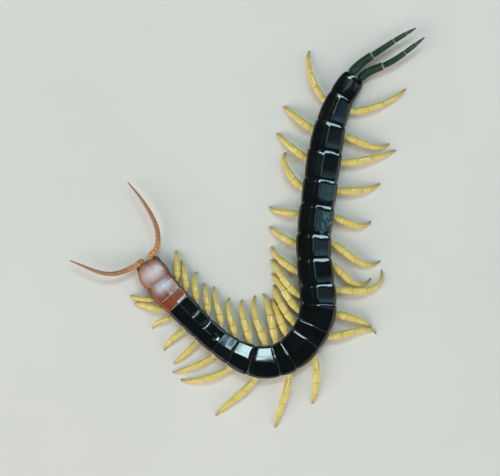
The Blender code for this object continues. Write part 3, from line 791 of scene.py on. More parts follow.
class Shape:
    """A mesh in the making, in mm, shaped from a plain operator's form.

    Every vertex keeps its own coordinates on the surface, which the materials read.
    """

    def __init__(self) -> None:
        """Start an empty shape."""
        self.mesh = bmesh.new()
        self.lie = self.mesh.verts.layers.float_vector.new(LIE)
        self.placed = self.mesh.verts.layers.int.new("placed")

    def fresh(self) -> list[bmesh.types.BMVert]:
        """Return the points made since the last call."""
        made = [vert for vert in self.mesh.verts if not vert[self.placed]]
        for vert in made:
            vert[self.placed] = 1
        return made

    def sheet(self, columns: int, rows: int, place: Placer, part: float = 0.0) -> None:
        """Add a grid laid on a surface.

        Args:
            columns: Faces across.
            rows: Faces along.
            place: Gives the point for a place across, -1 to 1, and along, 0 to 1.
            part: Number of the part, for the material.
        """
        bmesh.ops.create_grid(self.mesh, x_segments=columns, y_segments=rows, size=1.0)
        for vert in self.fresh():
            across, along = vert.co.x, (vert.co.y + 1) / 2
            vert[self.lie] = (across, along, part)
            vert.co = place(across, along)

    def tube(
        self, sides: int, rings: Sequence[float], place: Placer,
        lie: Callable[[float, float], Triple] | None = None,
    ) -> None:
        """Add a closed tube, drawn out of a cylinder.

        Args:
            sides: Faces round it.
            rings: The places of its rings, such as shares of its length.
            place: Gives the point for an angle and a ring's place.
            lie: Gives the surface coordinates for an angle and a ring's place.
        """
        made = bmesh.ops.create_cone(
            self.mesh, cap_ends=True, segments=sides, radius1=1.0, radius2=1.0, depth=1.0,
        )["verts"]
        long_edges = {edge for vert in made for edge in vert.link_edges}
        long_edges = [edge for edge in long_edges if abs(edge.verts[0].co.z - edge.verts[1].co.z) > 0.5]
        bmesh.ops.subdivide_edges(self.mesh, edges=long_edges, cuts=len(rings) - 2, use_grid_fill=True)
        last = len(rings) - 1
        for vert in self.fresh():
            angle = math.atan2(vert.co.y, vert.co.x)
            ring = rings[round((vert.co.z + 0.5) * last)]
            vert[self.lie] = lie(angle, ring) if lie else (math.cos(angle), ring, 0.0)
            vert.co = place(angle, ring)

    def cone(
        self, root: Vector, tip: Vector, radius: float, sides: int,
        lie: Triple, tip_radius: float = 0.02,
    ) -> None:
        """Add a thorn with a swollen foot.

        Args:
            root: The middle of its foot.
            tip: Its point.
            radius: The foot's radius.
            sides: Faces round it.
            lie: Its surface coordinates.
            tip_radius: The point's radius.
        """
        axis = tip - root
        turn = axis.to_track_quat("Z", "Y").to_matrix().to_4x4()

        def place(angle: float, ring: float) -> Vector:
            """Return a point of the thorn."""
            wide = tip_radius + (radius - tip_radius) * (1 - ring) ** 0.8
            return root + turn @ Vector((math.cos(angle) * wide, math.sin(angle) * wide, ring * axis.length))

        self.tube(sides, (0.0, 0.3, 0.65, 1.0), place, lambda angle, ring: lie)

    def bead(self, centre: Vector, radii: Vector, turn: Matrix) -> None:
        """Add a flattened ball.

        Args:
            centre: Its middle.
            radii: Its radii along the turn's axes.
            turn: Its placement, whose Z is the flat axis.
        """
        bmesh.ops.create_uvsphere(self.mesh, u_segments=16, v_segments=10, radius=1.0)
        for vert in self.fresh():
            local = Vector((vert.co.x * radii.x, vert.co.y * radii.y, vert.co.z * radii.z))
            vert[self.lie] = (0.0, 0.0, 0.0)
            vert.co = centre + turn @ local

    def ring(
        self, centre: Vector, turn: Matrix, radius: float, thickness: float,
        lie: Triple, squeeze: float = 1.0,
    ) -> None:
        """Add a closed ring by spinning a small circle.

        Args:
            centre: Its middle.
            turn: Its placement, whose Z is the ring's axis.
            radius: The radius of its middle line.
            thickness: The radius of the circle that is spun.
            lie: Its surface coordinates.
            squeeze: Its height along the turn's Y, as a share of its width.
        """
        upright = Matrix.Rotation(math.pi / 2, 3, "X")
        made = bmesh.ops.create_circle(self.mesh, segments=8, radius=thickness)
        bmesh.ops.rotate(self.mesh, verts=made["verts"], cent=(0, 0, 0), matrix=upright)
        bmesh.ops.translate(self.mesh, verts=made["verts"], vec=(radius, 0, 0))
        edges = list({edge for vert in made["verts"] for edge in vert.link_edges})
        bmesh.ops.spin(
            self.mesh, geom=edges, cent=(0, 0, 0), axis=(0, 0, 1), angle=math.tau, steps=24, use_merge=True,
        )
        for vert in self.fresh():
            vert[self.lie] = lie
            vert.co = centre + turn @ Vector((vert.co.x, vert.co.y * squeeze, vert.co.z))

    def piece(
        self, name: str, paint: Material, stands_for: Iterable[str] = (),
        smoothing: int = 1, wall: float = 0.0, slot: str | None = None,
    ) -> bpy.types.Object:
        """Turn the shape into a finished piece that rides on the body.

        Args:
            name: The piece's name.
            paint: Its material.
            stands_for: The solids it replaces.
            smoothing: Level of its Subdivision Surface.
            wall: Thickness in mm that a sheet gets inwards, or none.
            slot: The record's material slot; not used.

        Returns:
            The finished object.
        """
        bmesh.ops.recalc_face_normals(self.mesh, faces=self.mesh.faces)
        if wall:
            up = sum(face.normal.z * face.calc_area() for face in self.mesh.faces)
            if up < 0:
                bmesh.ops.reverse_faces(self.mesh, faces=self.mesh.faces)
        bmesh.ops.scale(self.mesh, vec=(MM, MM, MM), verts=self.mesh.verts)
        self.mesh.verts.layers.int.remove(self.placed)
        mesh = bpy.data.meshes.new(name)
        self.mesh.to_mesh(mesh)
        self.mesh.free()
        mesh.shade_smooth()
        made = bpy.data.objects.new(name, mesh)
        bpy.context.scene.collection.objects.link(made)
        made.data.materials.append(paint)
        if wall:
            shell = made.modifiers.new("wall", "SOLIDIFY")
            shell.thickness = wall * MM
            shell.offset = -1.0
            shell.use_even_offset = False
        if smoothing:
            rounding = made.modifiers.new("rounding", "SUBSURF")
            rounding.levels = rounding.render_levels = smoothing
        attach(made, "root")
        names = list(stands_for)
        if names:
            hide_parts(*names)
        LOG.info("%s: %d faces before rounding", name, len(mesh.polygons))
        return made


@dataclass(frozen=True)
class Tergite:
    """One back plate: nearly flat halves that meet in a soft ridge, with rolled margins."""

    number: int
    columns: int = 44
    rows: int = 22
    edge_pull: float = 0.45
    tuck: float = 0.25
    overlap: float = 0.42
    rear_bow: float = 0.16
    last_reach: float = 2.05
    wall: float = 0.20
    ridge_fall: float = 0.115
    crown: float = 0.028
    margin_start: float = 0.83
    margin_fall: float = 0.24
    margin_roll: float = 1.9
    ridge_round: float = 0.030
    last_ridge_round: float = 0.42
    # The raised bead of the margin and the furrow inside it: shares of the half width.
    bead: float = 0.05
    beads_from: int = 3
    bead_rise: Pair = (0.93, 0.965)
    bead_end: Pair = (0.985, 1.0)
    furrow_in: Pair = (0.86, 0.91)
    furrow_out: Pair = (0.91, 0.95)
    furrow: float = 0.15
    deep_furrow: float = 0.6
    deep_furrows_from: int = 7
    first_groove: float = 0.14
    # The slope before the rear edge: its width in mm, and how steep it is.
    rear_band: float = 1.10
    band_wander: float = 0.45
    rear_slope: float = 0.165
    red_slope: float = -0.11
    eased_from: int = 19
    steep_plates: tuple[int, int] = (3, 7)
    outline: Places = (
        (0.0, 0.865), (0.03, 0.905), (0.08, 0.940), (0.16, 0.965), (0.35, 0.995), (0.60, 1.005),
        (0.82, 1.005), (0.91, 0.99), (0.96, 0.962), (0.985, 0.935), (1.0, 0.90),
    )
    last_outline: Places = (
        (0.0, 0.865), (0.03, 0.905), (0.08, 0.940), (0.16, 0.965), (0.35, 0.995), (0.60, 1.0),
        (0.80, 0.985), (0.90, 0.965), (0.96, 0.93), (0.985, 0.90), (1.0, 0.87),
    )
    swell: Places = (
        (0.0, 0.935), (0.05, 0.958), (0.12, 0.980), (0.30, 0.996), (0.6, 1.006), (0.86, 1.016),
        (0.985, 1.020), (1.0, 1.005),
    )
    steep_swell: Places = (
        (0.0, 0.935), (0.04, 0.962), (0.08, 0.986), (0.12, 0.999), (0.30, 1.0), (0.6, 1.006),
        (0.86, 1.016), (0.985, 1.020), (1.0, 1.005),
    )
    # Small turns of single plates, as in a living animal: number, roll and pitch as slopes.
    turns: tuple[tuple[int, float, float], ...] = (
        (1, 0.0, 0.07), (6, 0.035, 0.020), (9, 0.02, 0.0), (13, 0.0, -0.02), (14, 0.0, -0.02),
        (15, 0.0, -0.012), (17, 0.0, 0.02), (18, 0.0, -0.02), (19, 0.012, 0.05), (20, 0.020, 0.07),
        (21, 0.01, 0.095),
    )
    # Shallow hollows at the front or the rear edge: number, place and reach across, depth in mm.
    front_hollows: tuple[Hollow, ...] = ((4, -0.40, 0.40, 0.115), (5, -0.38, 0.40, 0.115))
    rear_hollows: tuple[Hollow, ...] = ((5, -0.10, 0.24, 0.10),)
    # How wide the rear slope is on single plates: number and share of the usual width.
    bands: Places = (
        (3, 0.9), (4, 0.9), (5, 0.35), (6, 0.9), (8, 1.05), (9, 0.62), (10, 0.60), (11, 0.50),
        (12, 0.75), (13, 1.0), (14, 1.35), (15, 1.5), (17, 1.45), (18, 1.35), (19, 1.05), (20, 1.0),
    )

    @property
    def last(self) -> bool:
        """Return whether this is the plate over the terminal legs."""
        return self.number == BODY.count

    def rear_reach(self, across: float) -> float:
        """Return how far the rear edge reaches past the segment's end, in mm."""
        if self.last:
            return self.last_reach * (1 - abs(across) ** 1.5) - 0.15
        return self.overlap + self.rear_bow * (1 - across * across)

    def hollow(self, rows: tuple[Hollow, ...], across: float) -> float:
        """Return how deep this plate's hollows are.

        Args:
            rows: The hollows of all the plates.
            across: The place across.

        Returns:
            The depth, in mm.
        """
        depth = 0.0
        for number, middle, reach, deepest in rows:
            if number == self.number:
                depth += deepest * max(1 - ((across - middle) / reach) ** 4, 0.0)
        return depth

    def section(self, across: float) -> float:
        """Return the height of the plate's top as a share of the trunk's height."""
        size = abs(across)
        corner = self.last_ridge_round if self.last else self.ridge_round
        soft = math.sqrt(size * size + corner ** 2) - corner
        rolled = max(size - self.margin_start, 0.0) / (1 - self.margin_start)
        rolled_down = self.margin_fall * rolled ** self.margin_roll
        return 1 - self.ridge_fall * soft - self.crown * size * size - rolled_down

    def margin(self, across: float) -> float:
        """Return how far the margin's bead and furrow stand above the plate, in mm."""
        if self.number < self.beads_from:
            return 0.0
        size = abs(across)
        furrow = self.deep_furrow if self.number >= self.deep_furrows_from else self.furrow
        bead = self.bead * (eased(size, *self.bead_rise) - eased(size, *self.bead_end) * 0.6)
        return bead - self.bead * furrow * eased(size, *self.furrow_in) * (1 - eased(size, *self.furrow_out))

    def rear_fall(self, across: float, to_rear: float) -> float:
        """Return how far the plate has fallen on the slope before its rear edge.

        Args:
            across: The place across.
            to_rear: The distance to the rear edge, in mm.

        Returns:
            The fall, in mm.
        """
        wander = noise.noise(Vector((self.number * 7.3, across * 2.4, 0.5)))
        share = between(self.number, *zip(*self.bands))
        past = self.rear_band * share * (1 + self.band_wander * wander) - to_rear
        slope = self.red_slope if self.number <= RED_TERGITES else self.rear_slope
        if self.number >= self.eased_from and across < 0:
            slope *= 1 - 0.75 * eased(-across, 0.05, 0.3)
        return slope * (math.sqrt(past * past + 0.01) + past - 0.09) / 2

    def place(self, across: float, along: float) -> Vector:
        """Return the plate's top surface at a place.

        Args:
            across: The place across, from -1 on the right to 1 on the left.
            along: The place from the front edge, 0, to the rear edge, 1.

        Returns:
            The point.
        """
        across, along = crowded(across, self.edge_pull), crowded_along(along)
        front = BODY.boundaries[self.number - 1] - self.tuck
        middle = BODY.station(self.number, 0.5)
        rear = BODY.boundaries[self.number] + self.rear_reach(across)
        length = front + along * (rear - front)
        half_width = BODY.width(min(length, BODY.end)) / 2
        outline = self.last_outline if self.last else self.outline
        point, _, left = BODY.frame(length)
        spot = point + left * (across * half_width * between(along, *zip(*outline)))
        centre, _, flat_left = BODY.frame(middle)
        rigid = (spot - centre).dot(flat_left) / half_width
        lean = across + (rigid - across) * (1 - abs(across) ** 3)
        steep_first, steep_last = self.steep_plates
        swell = self.steep_swell if steep_first <= self.number <= steep_last else self.swell
        level = self.section(lean) * between(along, *zip(*swell))
        if self.last:
            level -= 0.10 * eased(along, 0.70, 1.0) + 0.02 * eased(along, 0.4, 0.8)
        rise = self.margin(across)
        if self.number == 1:
            rise -= self.first_groove * eased(along, 0.13, 0.18) * (1 - clipped((along - 0.19) / 0.16))
        rise -= self.rear_fall(across, rear - length)
        rise -= self.hollow(self.front_hollows, across) * (1 - clipped(length - front - 0.75))
        in_hollow = clipped((rear - length - 0.45) / 1.1) - eased(rear - length, 1.8, 4.0)
        rise -= self.hollow(self.rear_hollows, across) * in_hollow
        for number, roll, pitch in self.turns:
            if number == self.number:
                steady = 1 - abs(across) ** 9
                rise += (rigid * half_width * roll + (length - middle) * pitch) * steady
        spot.z = BODY.belly_level + level * BODY.height(min(length, BODY.end)) + rise
        return spot

    def build(self, paint: Material, slot: str) -> bpy.types.Object:
        """Return the finished plate.

        Args:
            paint: Its material.
            slot: The record's material slot, passed on to the piece, which doesn't use it.

        Returns:
            The plate.
        """
        shape = Shape()
        shape.sheet(self.columns, self.rows, self.place, float(self.number))
        for vert in shape.mesh.verts:
            across, along, number = vert[shape.lie]
            vert[shape.lie] = (crowded(across, self.edge_pull), crowded_along(along), number)
        return shape.piece(f"tergite_{self.number:02d}", paint, wall=self.wall, slot=slot)


@dataclass(frozen=True)
class Sternite:
    """One belly plate, nearly rectangular with rounded corners."""

    number: int
    share: float = 0.66
    wall: float = 0.16
    sag: float = 0.10
    dome: float = 0.05
    side_lift: float = 0.14
    end_lift: float = 0.10
    front: float = 0.05
    last_rear: float = 0.86
    last_taper: float = 0.45
    outline: Places = (
        (0.0, 0.70), (0.04, 0.84), (0.14, 0.95), (0.5, 1.0), (0.85, 0.93), (0.96, 0.84), (1.0, 0.72),
    )

    def place(self, across: float, along: float) -> Vector:
        """Return the plate's lower surface at a place.

        Args:
            across: The place across, -1 to 1.
            along: The place along, 0 to 1.

        Returns:
            The point.
        """
        last = self.number == BODY.count
        front = BODY.station(self.number, self.front)
        rear = BODY.station(self.number, self.last_rear if last else 1.0)
        length = front + along * (rear - front)
        narrow = 1.0 - self.last_taper * along if last else 1.0
        aside = across * self.share * BODY.width(length) / 2 * between(along, *zip(*self.outline)) * narrow
        spot = BODY.spot(length, aside, BODY.belly_level)
        sides, ends = eased(abs(across), 0.75, 1.0), eased(abs(along - 0.5), 0.36, 0.5)
        edge = sides * self.side_lift + ends * self.end_lift
        spot.z -= self.sag - edge - self.dome * (1 - across * across)
        return spot

    def build(self, paint: Material) -> bpy.types.Object:
        """Return the finished plate."""
        shape = Shape()
        shape.sheet(20, 14, self.place, float(self.number))
        made = shape.piece(f"sternite_{self.number:02d}", paint, wall=self.wall)
        made.modifiers["wall"].offset = 1.0
        return made


@dataclass(frozen=True)
class TrunkSkin:
    """The one skin of the trunk, between the back plates and the belly plates."""

    sides: int = 64
    rows: int = 9
    middle: float = 0.45
    pinch: float = 0.055
    pinch_reach: float = 0.16
    bulge: float = 0.035
    crumple: float = 0.14
    # The skin's ends: shares of the head's length, reaches in mm, and shares of the full size.
    neck_start: float = 0.70
    neck_held: float = 0.72
    neck_reach: float = 0.4
    neck_size: Pair = (0.80, 0.20)
    tail_reach: Pair = (0.9, 0.35)
    tail_fall: float = 0.35
    half_section: Places = (
        (0.0, -0.005), (0.50, -0.003), (0.66, 0.005), (0.78, 0.035), (0.86, 0.10), (0.885, 0.17),
        (0.845, 0.235), (0.87, 0.31), (0.90, 0.40), (0.865, 0.475), (0.90, 0.54), (0.925, 0.585),
        (0.90, 0.64), (0.80, 0.73), (0.55, 0.83), (0.30, 0.88), (0.0, 0.90),
    )

    def section(self, angle: float) -> Triple:
        """Return the share of the half width, the level and the way round for an angle.

        Args:
            angle: The angle, which is minus a quarter turn at the belly's middle.

        Returns:
            The share, the level and the way round, 0 on the belly and 1 on the back.
        """
        turn = (math.degrees(angle) + 90) % 360
        side = 1.0 if turn <= 180 else -1.0
        round_share = turn / 180 if turn <= 180 else (360 - turn) / 180
        steps = np.linspace(0.0, 1.0, len(self.half_section))
        share, level = (between(round_share, steps, column) for column in zip(*self.half_section))
        return share * side, level, round_share

    def place(self, angle: float, length: float) -> Vector:
        """Return a point of the skin.

        Args:
            angle: The angle round the trunk.
            length: The length along the body.

        Returns:
            The point.
        """
        share, level, round_share = self.section(angle)
        at = min(max(length, BODY.head_length * self.neck_held), BODY.end)
        passed = float(np.interp(at, BODY.boundaries, np.arange(BODY.count + 1)))
        local = passed - math.floor(passed)
        pinch = 1 - self.pinch * (1 - eased(min(local, 1 - local), 0.0, self.pinch_reach))
        on_wall = eased(round_share, 0.22, 0.34) * (1 - eased(round_share, 0.66, 0.76))
        bulge = self.bulge * math.sin(local * math.pi * 3) * on_wall
        crumple = noise.noise(Vector((length * 0.9, share * 4, level * 9))) * self.crumple * on_wall
        size = self.size(length)
        aside = share * (BODY.width(at) / 2) * (1 + (pinch - 1) * on_wall + bulge) * size
        aside += math.copysign(crumple, share)
        level = self.middle + (level - self.middle) * size
        return BODY.spot(length, aside, BODY.belly_level + level * BODY.height(at))

    def size(self, length: float) -> float:
        """Return the skin's size at a length, which falls toward the neck and the tail."""
        tail_start, tail_end = BODY.end - self.tail_reach[0], BODY.end + self.tail_reach[1]
        neck_end = BODY.head_length + self.neck_reach
        if length > tail_start:
            return 1 - self.tail_fall * eased(length, tail_start, tail_end)
        if length < neck_end:
            least, growth = self.neck_size
            return least + growth * eased(length, BODY.head_length * self.neck_start, neck_end)
        return 1.0

    def build(self, paint: Material, stands_for: Iterable[str]) -> bpy.types.Object:
        """Return the skin.

        Args:
            paint: Its material.
            stands_for: The trunk's solids, which it stands for.

        Returns:
            The skin.
        """
        rings = [BODY.head_length * self.neck_start]
        for number in range(1, BODY.count + 1):
            rings += [BODY.station(number, row / self.rows) for row in range(self.rows)]
        rings += [BODY.end + past for past in (-0.5, 0.0, 0.30)]
        shape = Shape()
        shape.tube(
            self.sides, rings, self.place, lambda angle, length: (self.section(angle)[2], length, 0.0),
        )
        return shape.piece("trunk_skin", paint, stands_for, slot="black_shell")


@dataclass(frozen=True)
class Spiracles:
    """The slit-like breathing holes on the sides of every other segment."""

    segments: tuple[int, ...] = (3, 5, 8, 10, 12, 14, 16, 18, 20)
    radius: float = 0.42
    thickness: float = 0.09
    squeeze: float = 0.5
    level: float = 0.40
    place: float = 0.28
    wall_share: float = 0.885
    upturn: float = 0.25
    slant: float = 0.35

    def build(self, paint: Material) -> bpy.types.Object:
        """Return all of them as one piece.

        Args:
            paint: Their material.

        Returns:
            The piece.
        """
        shape = Shape()
        for number in self.segments:
            length = BODY.station(number, self.place)
            _, tailward, left = BODY.frame(length)
            along = (tailward - UP * self.slant).normalized()
            for side in Side:
                out = (left * side.value + UP * self.upturn).normalized()
                aside = side.value * (self.wall_share * BODY.width(length) / 2)
                centre = BODY.spot(length, aside, BODY.belly_level + self.level * BODY.height(length))
                turn = Matrix((along, out.cross(along), out)).transposed()
                shape.ring(centre, turn, self.radius, self.thickness, (0.5, length, 0.0), self.squeeze)
        return shape.piece("spiracles", paint, smoothing=0)


@dataclass(frozen=True)
class TailEnd:
    """The swollen side plates and the small end segments under the last tergite."""

    # Radii in mm at places in mm past the last segment's end.
    lobe_radii: Places = (
        (-6.2, 0.25), (-5.0, 1.0), (-3.2, 1.45), (-1.2, 1.40), (0.3, 1.05), (1.2, 0.62), (1.75, 0.30),
        (2.0, 0.10),
    )
    end_radii: Places = (
        (-1.5, 0.8), (-0.2, 1.0), (0.25, 0.92), (0.45, 0.74), (0.95, 0.60), (1.15, 0.12),
    )
    lobe_aside: float = 3.05
    lobe_level: float = 1.95
    tip_inward: float = 0.75
    tip_rise: float = 0.2
    tip_past: float = 1.9
    end_level: float = 2.35

    def build_lobe(self, side: Side, paint: Material) -> bpy.types.Object:
        """Return one pore-bearing side plate, with its pointed process.

        Args:
            side: Its side of the animal.
            paint: Its material.

        Returns:
            The piece.
        """

        def place(angle: float, past: float) -> Vector:
            """Return a point of the lobe."""
            radius = between(past, *zip(*self.lobe_radii))
            to_tip = eased(past, 0.0, 2.0)
            inward = self.tip_inward * to_tip + 0.25 * eased(-past, 3.0, 6.2)
            aside = self.lobe_aside - inward + math.cos(angle) * radius * 0.80
            level = self.lobe_level + self.tip_rise * to_tip + math.sin(angle) * radius * 0.62
            return BODY.spot(BODY.end + past, aside * side.value, level)

        shape = Shape()
        rings = list(np.linspace(self.lobe_radii[0][0], self.lobe_radii[-1][0], 24))
        shape.tube(20, rings, place, lambda angle, past: (0.3, 0.5, 5.0))
        aside = (self.lobe_aside - self.tip_inward) * side.value
        tip = BODY.spot(BODY.end + self.tip_past, aside, self.lobe_level + self.tip_rise)
        _, tailward, left = BODY.frame(BODY.end)
        for turn in (-0.35, 0.35):
            root = tip + left * (turn * 0.35) - tailward * 0.1
            shape.cone(root, root + (tailward + left * turn * 0.5) * 0.42, 0.10, 6, (0.3, 0.95, 5.0))
        return shape.piece(f"coxopleuron_{side.word}", paint)

    def build_end(self, paint: Material) -> bpy.types.Object:
        """Return the small last segments between the terminal legs."""

        def place(angle: float, past: float) -> Vector:
            """Return a point of the end segments."""
            radius = between(past, *zip(*self.end_radii))
            level = self.end_level + math.sin(angle) * radius * 0.95
            return BODY.spot(BODY.end + past, math.cos(angle) * radius * 0.72, level)

        shape = Shape()
        rings = list(np.linspace(self.end_radii[0][0], self.end_radii[-1][0], 16))
        shape.tube(18, rings, place, lambda angle, past: (0.3, 0.5, 0.0))
        return shape.piece("end_segments", paint)


@dataclass(frozen=True)
class Article:
    """One jointed length of a limb: its share of the limb and its radii at root and end in mm."""

    start: float
    end: float
    root: float
    tip: float


@dataclass(frozen=True)
class Limb:
    """A limb of articles along a route, each narrow at its root and collared at its end."""

    articles: tuple[Article, ...]
    flatten: float = 0.82
    sides: int = 14
    profile: Places = (
        (0.015, 0.80), (0.05, 0.93), (0.14, 1.0), (0.35, 1.025), (0.62, 1.02), (0.84, 1.01),
        (0.925, 1.05), (0.965, 1.03), (0.992, 0.86),
    )
    tip_profile: Places = (
        (0.02, 0.9), (0.2, 1.0), (0.4, 0.92), (0.6, 0.74), (0.8, 0.48), (0.93, 0.26), (1.0, 0.10),
    )
    floor_gap: float = 0.02

    def rings(self) -> list[float]:
        """Return the place of each ring, an article's number and the share along it."""
        last = len(self.articles) - 1
        rows = [number + share for number in range(last) for share, _ in self.profile]
        return rows + [last + min(share, 0.999) for share, _ in self.tip_profile]

    def share(self, ring: float) -> float:
        """Return the share of the whole limb at a ring."""
        article = self.articles[int(ring)]
        return article.start + (article.end - article.start) * (ring % 1)

    def radius(self, ring: float) -> float:
        """Return the radius at a ring, in mm before the limb's own size."""
        number = int(ring)
        article = self.articles[number]
        profile = self.tip_profile if number == len(self.articles) - 1 else self.profile
        plain = article.root + (article.tip - article.root) * (ring % 1)
        return plain * between(ring % 1, *zip(*profile))

    def draw(self, shape: Shape, route: Route, size: float = 1.0, floor: bool = False) -> None:
        """Add the limb to a shape.

        Args:
            shape: The shape that gets it.
            route: Gives the limb's middle line for a share of its length.
            size: Scale of its thickness.
            floor: Whether it is kept above the floor.
        """
        frames = {}
        for ring in self.rings():
            share = self.share(ring)
            along = heading(route, share)
            aside = sideways(along)
            frames[ring] = (route(share), aside, aside.cross(along).normalized(), self.radius(ring) * size)

        def place(angle: float, ring: float) -> Vector:
            """Return a point of the limb."""
            middle, aside, top, radius = frames[ring]
            spot = middle + aside * math.cos(angle) * radius + top * math.sin(angle) * radius * self.flatten
            if floor:
                spot.z = max(spot.z, self.floor_gap)
            return spot

        shape.tube(self.sides, self.rings(), place)

    def ring_at(self, share: float) -> float:
        """Return the ring place, an article's number and the share along it, at a share of the limb."""
        for number, article in enumerate(self.articles):
            if share < article.end:
                return number + (share - article.start) / (article.end - article.start)
        return len(self.articles) - 0.01


LEG = Limb((
    Article(-0.05, 0.075, 1.36, 1.32), Article(0.075, 0.135, 1.20, 1.25), Article(0.135, 0.325, 1.26, 1.40),
    Article(0.325, 0.535, 1.27, 1.28), Article(0.535, 0.735, 1.05, 1.02), Article(0.735, 0.865, 0.80, 0.68),
    Article(0.865, 0.955, 0.56, 0.38), Article(0.955, 1.0, 0.27, 0.16),
), flatten=0.80)


@dataclass(frozen=True)
class WalkingLegs:
    """The forty walking legs, with the same stances as the solids."""

    left_stance: tuple[Triple, ...] = (
        (49, 8.4, -0.7), (52, 10.5, 0.0), (12, 8.1, 0.9), (-1, 10.5, 0.9), (5, 11.6, -0.2),
        (31, 15.8, -1.0), (47, 17.9, -1.9), (36, 19.2, -0.4), (35, 19.3, -0.5), (49, 16.4, -1.3),
        (-30, 17.3, -0.9), (10, 13.6, -0.6), (-20, 18.4, 4.7), (20, 14.7, 3.3), (15, 18.8, 2.7),
        (-4, 13.8, 2.1), (-19, 16.0, 1.6), (-23, 20.6, 1.3), (-6, 16.6, 2.2), (-47, 21.6, 2.4),
    )
    right_stance: tuple[Triple, ...] = (
        (48, 10.6, -0.6), (51, 10.7, -0.8), (40, 10.8, 0.6), (49, 11.1, -0.5), (48, 14.4, -0.2),
        (39, 14.1, 0.6), (32, 16.0, 0.4), (8, 18.6, 1.2), (-9, 18.4, -0.3), (-21, 14.0, 0.0),
        (-32, 15.8, 1.2), (-42, 16.4, 0.5), (-56, 16.2, 1.1), (-50, 12.8, 1.6), (-32, 11.5, 0.9),
        (-8, 11.2, 1.0), (-57, 14.2, 2.4), (-32, 14.2, 0.8), (-26, 13.8, 0.7), (-50, 19.0, 2.4),
    )
    # Where the legs grow: number of the segment and share of its length.
    left_stations: Places = (
        (1, 0.55), (3, 0.30), (8, 0.30), (10, 0.70), (11, 0.90), (12, 0.75), (20, 0.72),
    )
    right_stations: Places = ((1, 0.55), (10, 0.65), (20, 0.72))
    rises: Places = (
        (0.0, 1.0), (0.09, 1.0), (0.14, 1.05), (0.19, 1.08), (0.31, 1.22), (0.34, 1.21), (0.52, 1.02),
        (0.55, 0.97), (0.72, 0.62), (0.75, 0.56), (0.86, 0.32), (0.88, 0.27), (0.95, 0.09), (0.967, 0.05),
        (1.0, 0.02),
    )
    coxa_share: float = 0.20
    gap: float = 0.3
    full_width: float = 10.8
    full_reach: float = 12.5
    inset: float = 1.0
    hook: float = 0.30
    # Each spur: its ring, its side and slant, its length and its foot's radius in mm.
    spurs: tuple[tuple[float, float, float, float], ...] = (
        (4.97, 0.75, 0.42, 0.10), (5.97, 0.6, 0.34, 0.08), (5.97, -0.6, 0.34, 0.08),
        (6.99, 0.8, 0.30, 0.06), (6.99, -0.8, 0.30, 0.06),
    )
    spur_foot_floor: float = 0.12
    spur_tip_floor: float = 0.06

    def route(
        self, root: Vector, outward: Vector, forward: Vector, stance: Triple, level: float,
    ) -> Route:
        """Return a leg's middle line.

        Args:
            root: Where the leg leaves the trunk.
            outward: The way out from the trunk.
            forward: The way to the head.
            stance: Swing in degrees, reach in mm and bow in mm.
            level: The root's height.

        Returns:
            A function of the share of the leg's length.
        """
        swing, reach, bow = stance
        angle = math.radians(swing)
        tip = root + outward * (reach * math.cos(angle)) + forward * (reach * math.sin(angle))
        ahead = forward * math.cos(angle) - outward * math.sin(angle)
        middle = (root + tip) / 2 + ahead * bow
        near = root + outward * (self.coxa_share * reach)
        far = (middle * 8 - root - near * 3 - tip) / 3
        rise = Line([(share * 10, level * height) for share, height in self.rises], 0.02)
        rows = rise.samples

        def place(share: float) -> Vector:
            """Return the point at a share of the length."""
            held = clipped(share)
            rest = 1 - held
            spot = (
                root * rest ** 3 + near * (3 * held * rest ** 2)
                + far * (3 * held ** 2 * rest) + tip * held ** 3
            )
            if share < 0:
                spot -= outward * (self.inset * min(-share / 0.05, 1.4))
            spot += ahead * (self.hook * eased(share, 0.95, 1.0))
            spot.z = float(np.interp(held * 10, rows[:, 0], rows[:, 1]))
            return spot

        return place

    def build_leg(self, side: Side, number: int, stance: Triple, paint: Material) -> bpy.types.Object:
        """Return one leg with its spurs and its claw, which stands for its solid.

        Args:
            side: Its side of the animal.
            number: Its segment's number.
            stance: Swing in degrees, reach in mm and bow in mm.
            paint: Its material.

        Returns:
            The leg.
        """
        stations = self.left_stations if side is Side.LEFT else self.right_stations
        length = BODY.station(number, between(number, *zip(*stations)))
        point, tailward, left = BODY.frame(length)
        outward = left * side.value
        width = BODY.width(length)
        size = min(width / self.full_width, stance[1] / self.full_reach, 1.0)
        level = BODY.belly_level + BODY.wall_middle * width * BODY.height_to_width
        root = point + outward * (BODY.wall_share * width / 2 + self.gap)
        route = self.route(root, outward, -tailward, stance, level)
        shape = Shape()
        LEG.draw(shape, route, size, floor=True)
        self.add_spurs(shape, route, size)
        name = f"{side.word}_{number:02d}"
        return shape.piece(f"leg_skin_{name}", paint, [f"leg_{name}"], slot="leg")

    def add_spurs(self, shape: Shape, route: Route, size: float) -> None:
        """Add the small spurs at the ends of the last articles and at the claw's root.

        Args:
            shape: The leg's shape.
            route: The leg's middle line.
            size: Scale of the leg's thickness.
        """
        for ring, aside, long, thick in self.spurs:
            share = LEG.share(ring)
            along = heading(route, share)
            out = sideways(along) * aside - UP * 0.45
            radius = LEG.radius(math.floor(ring) + 0.84) * size
            root = route(share) + out.normalized() * radius * 0.55
            root.z = max(root.z, self.spur_foot_floor)
            tip = root + (along * 0.9 + out * 0.5) * long * max(size, 0.7)
            tip.z = max(tip.z, self.spur_tip_floor)
            shape.cone(root, tip, thick, 5, (0.0, 7.6, 0.0))

    def build(self, paint: Material) -> None:
        """Build every leg."""
        for side, stances in ((Side.LEFT, self.left_stance), (Side.RIGHT, self.right_stance)):
            for number, stance in enumerate(stances, start=1):
                self.build_leg(side, number, stance, paint)


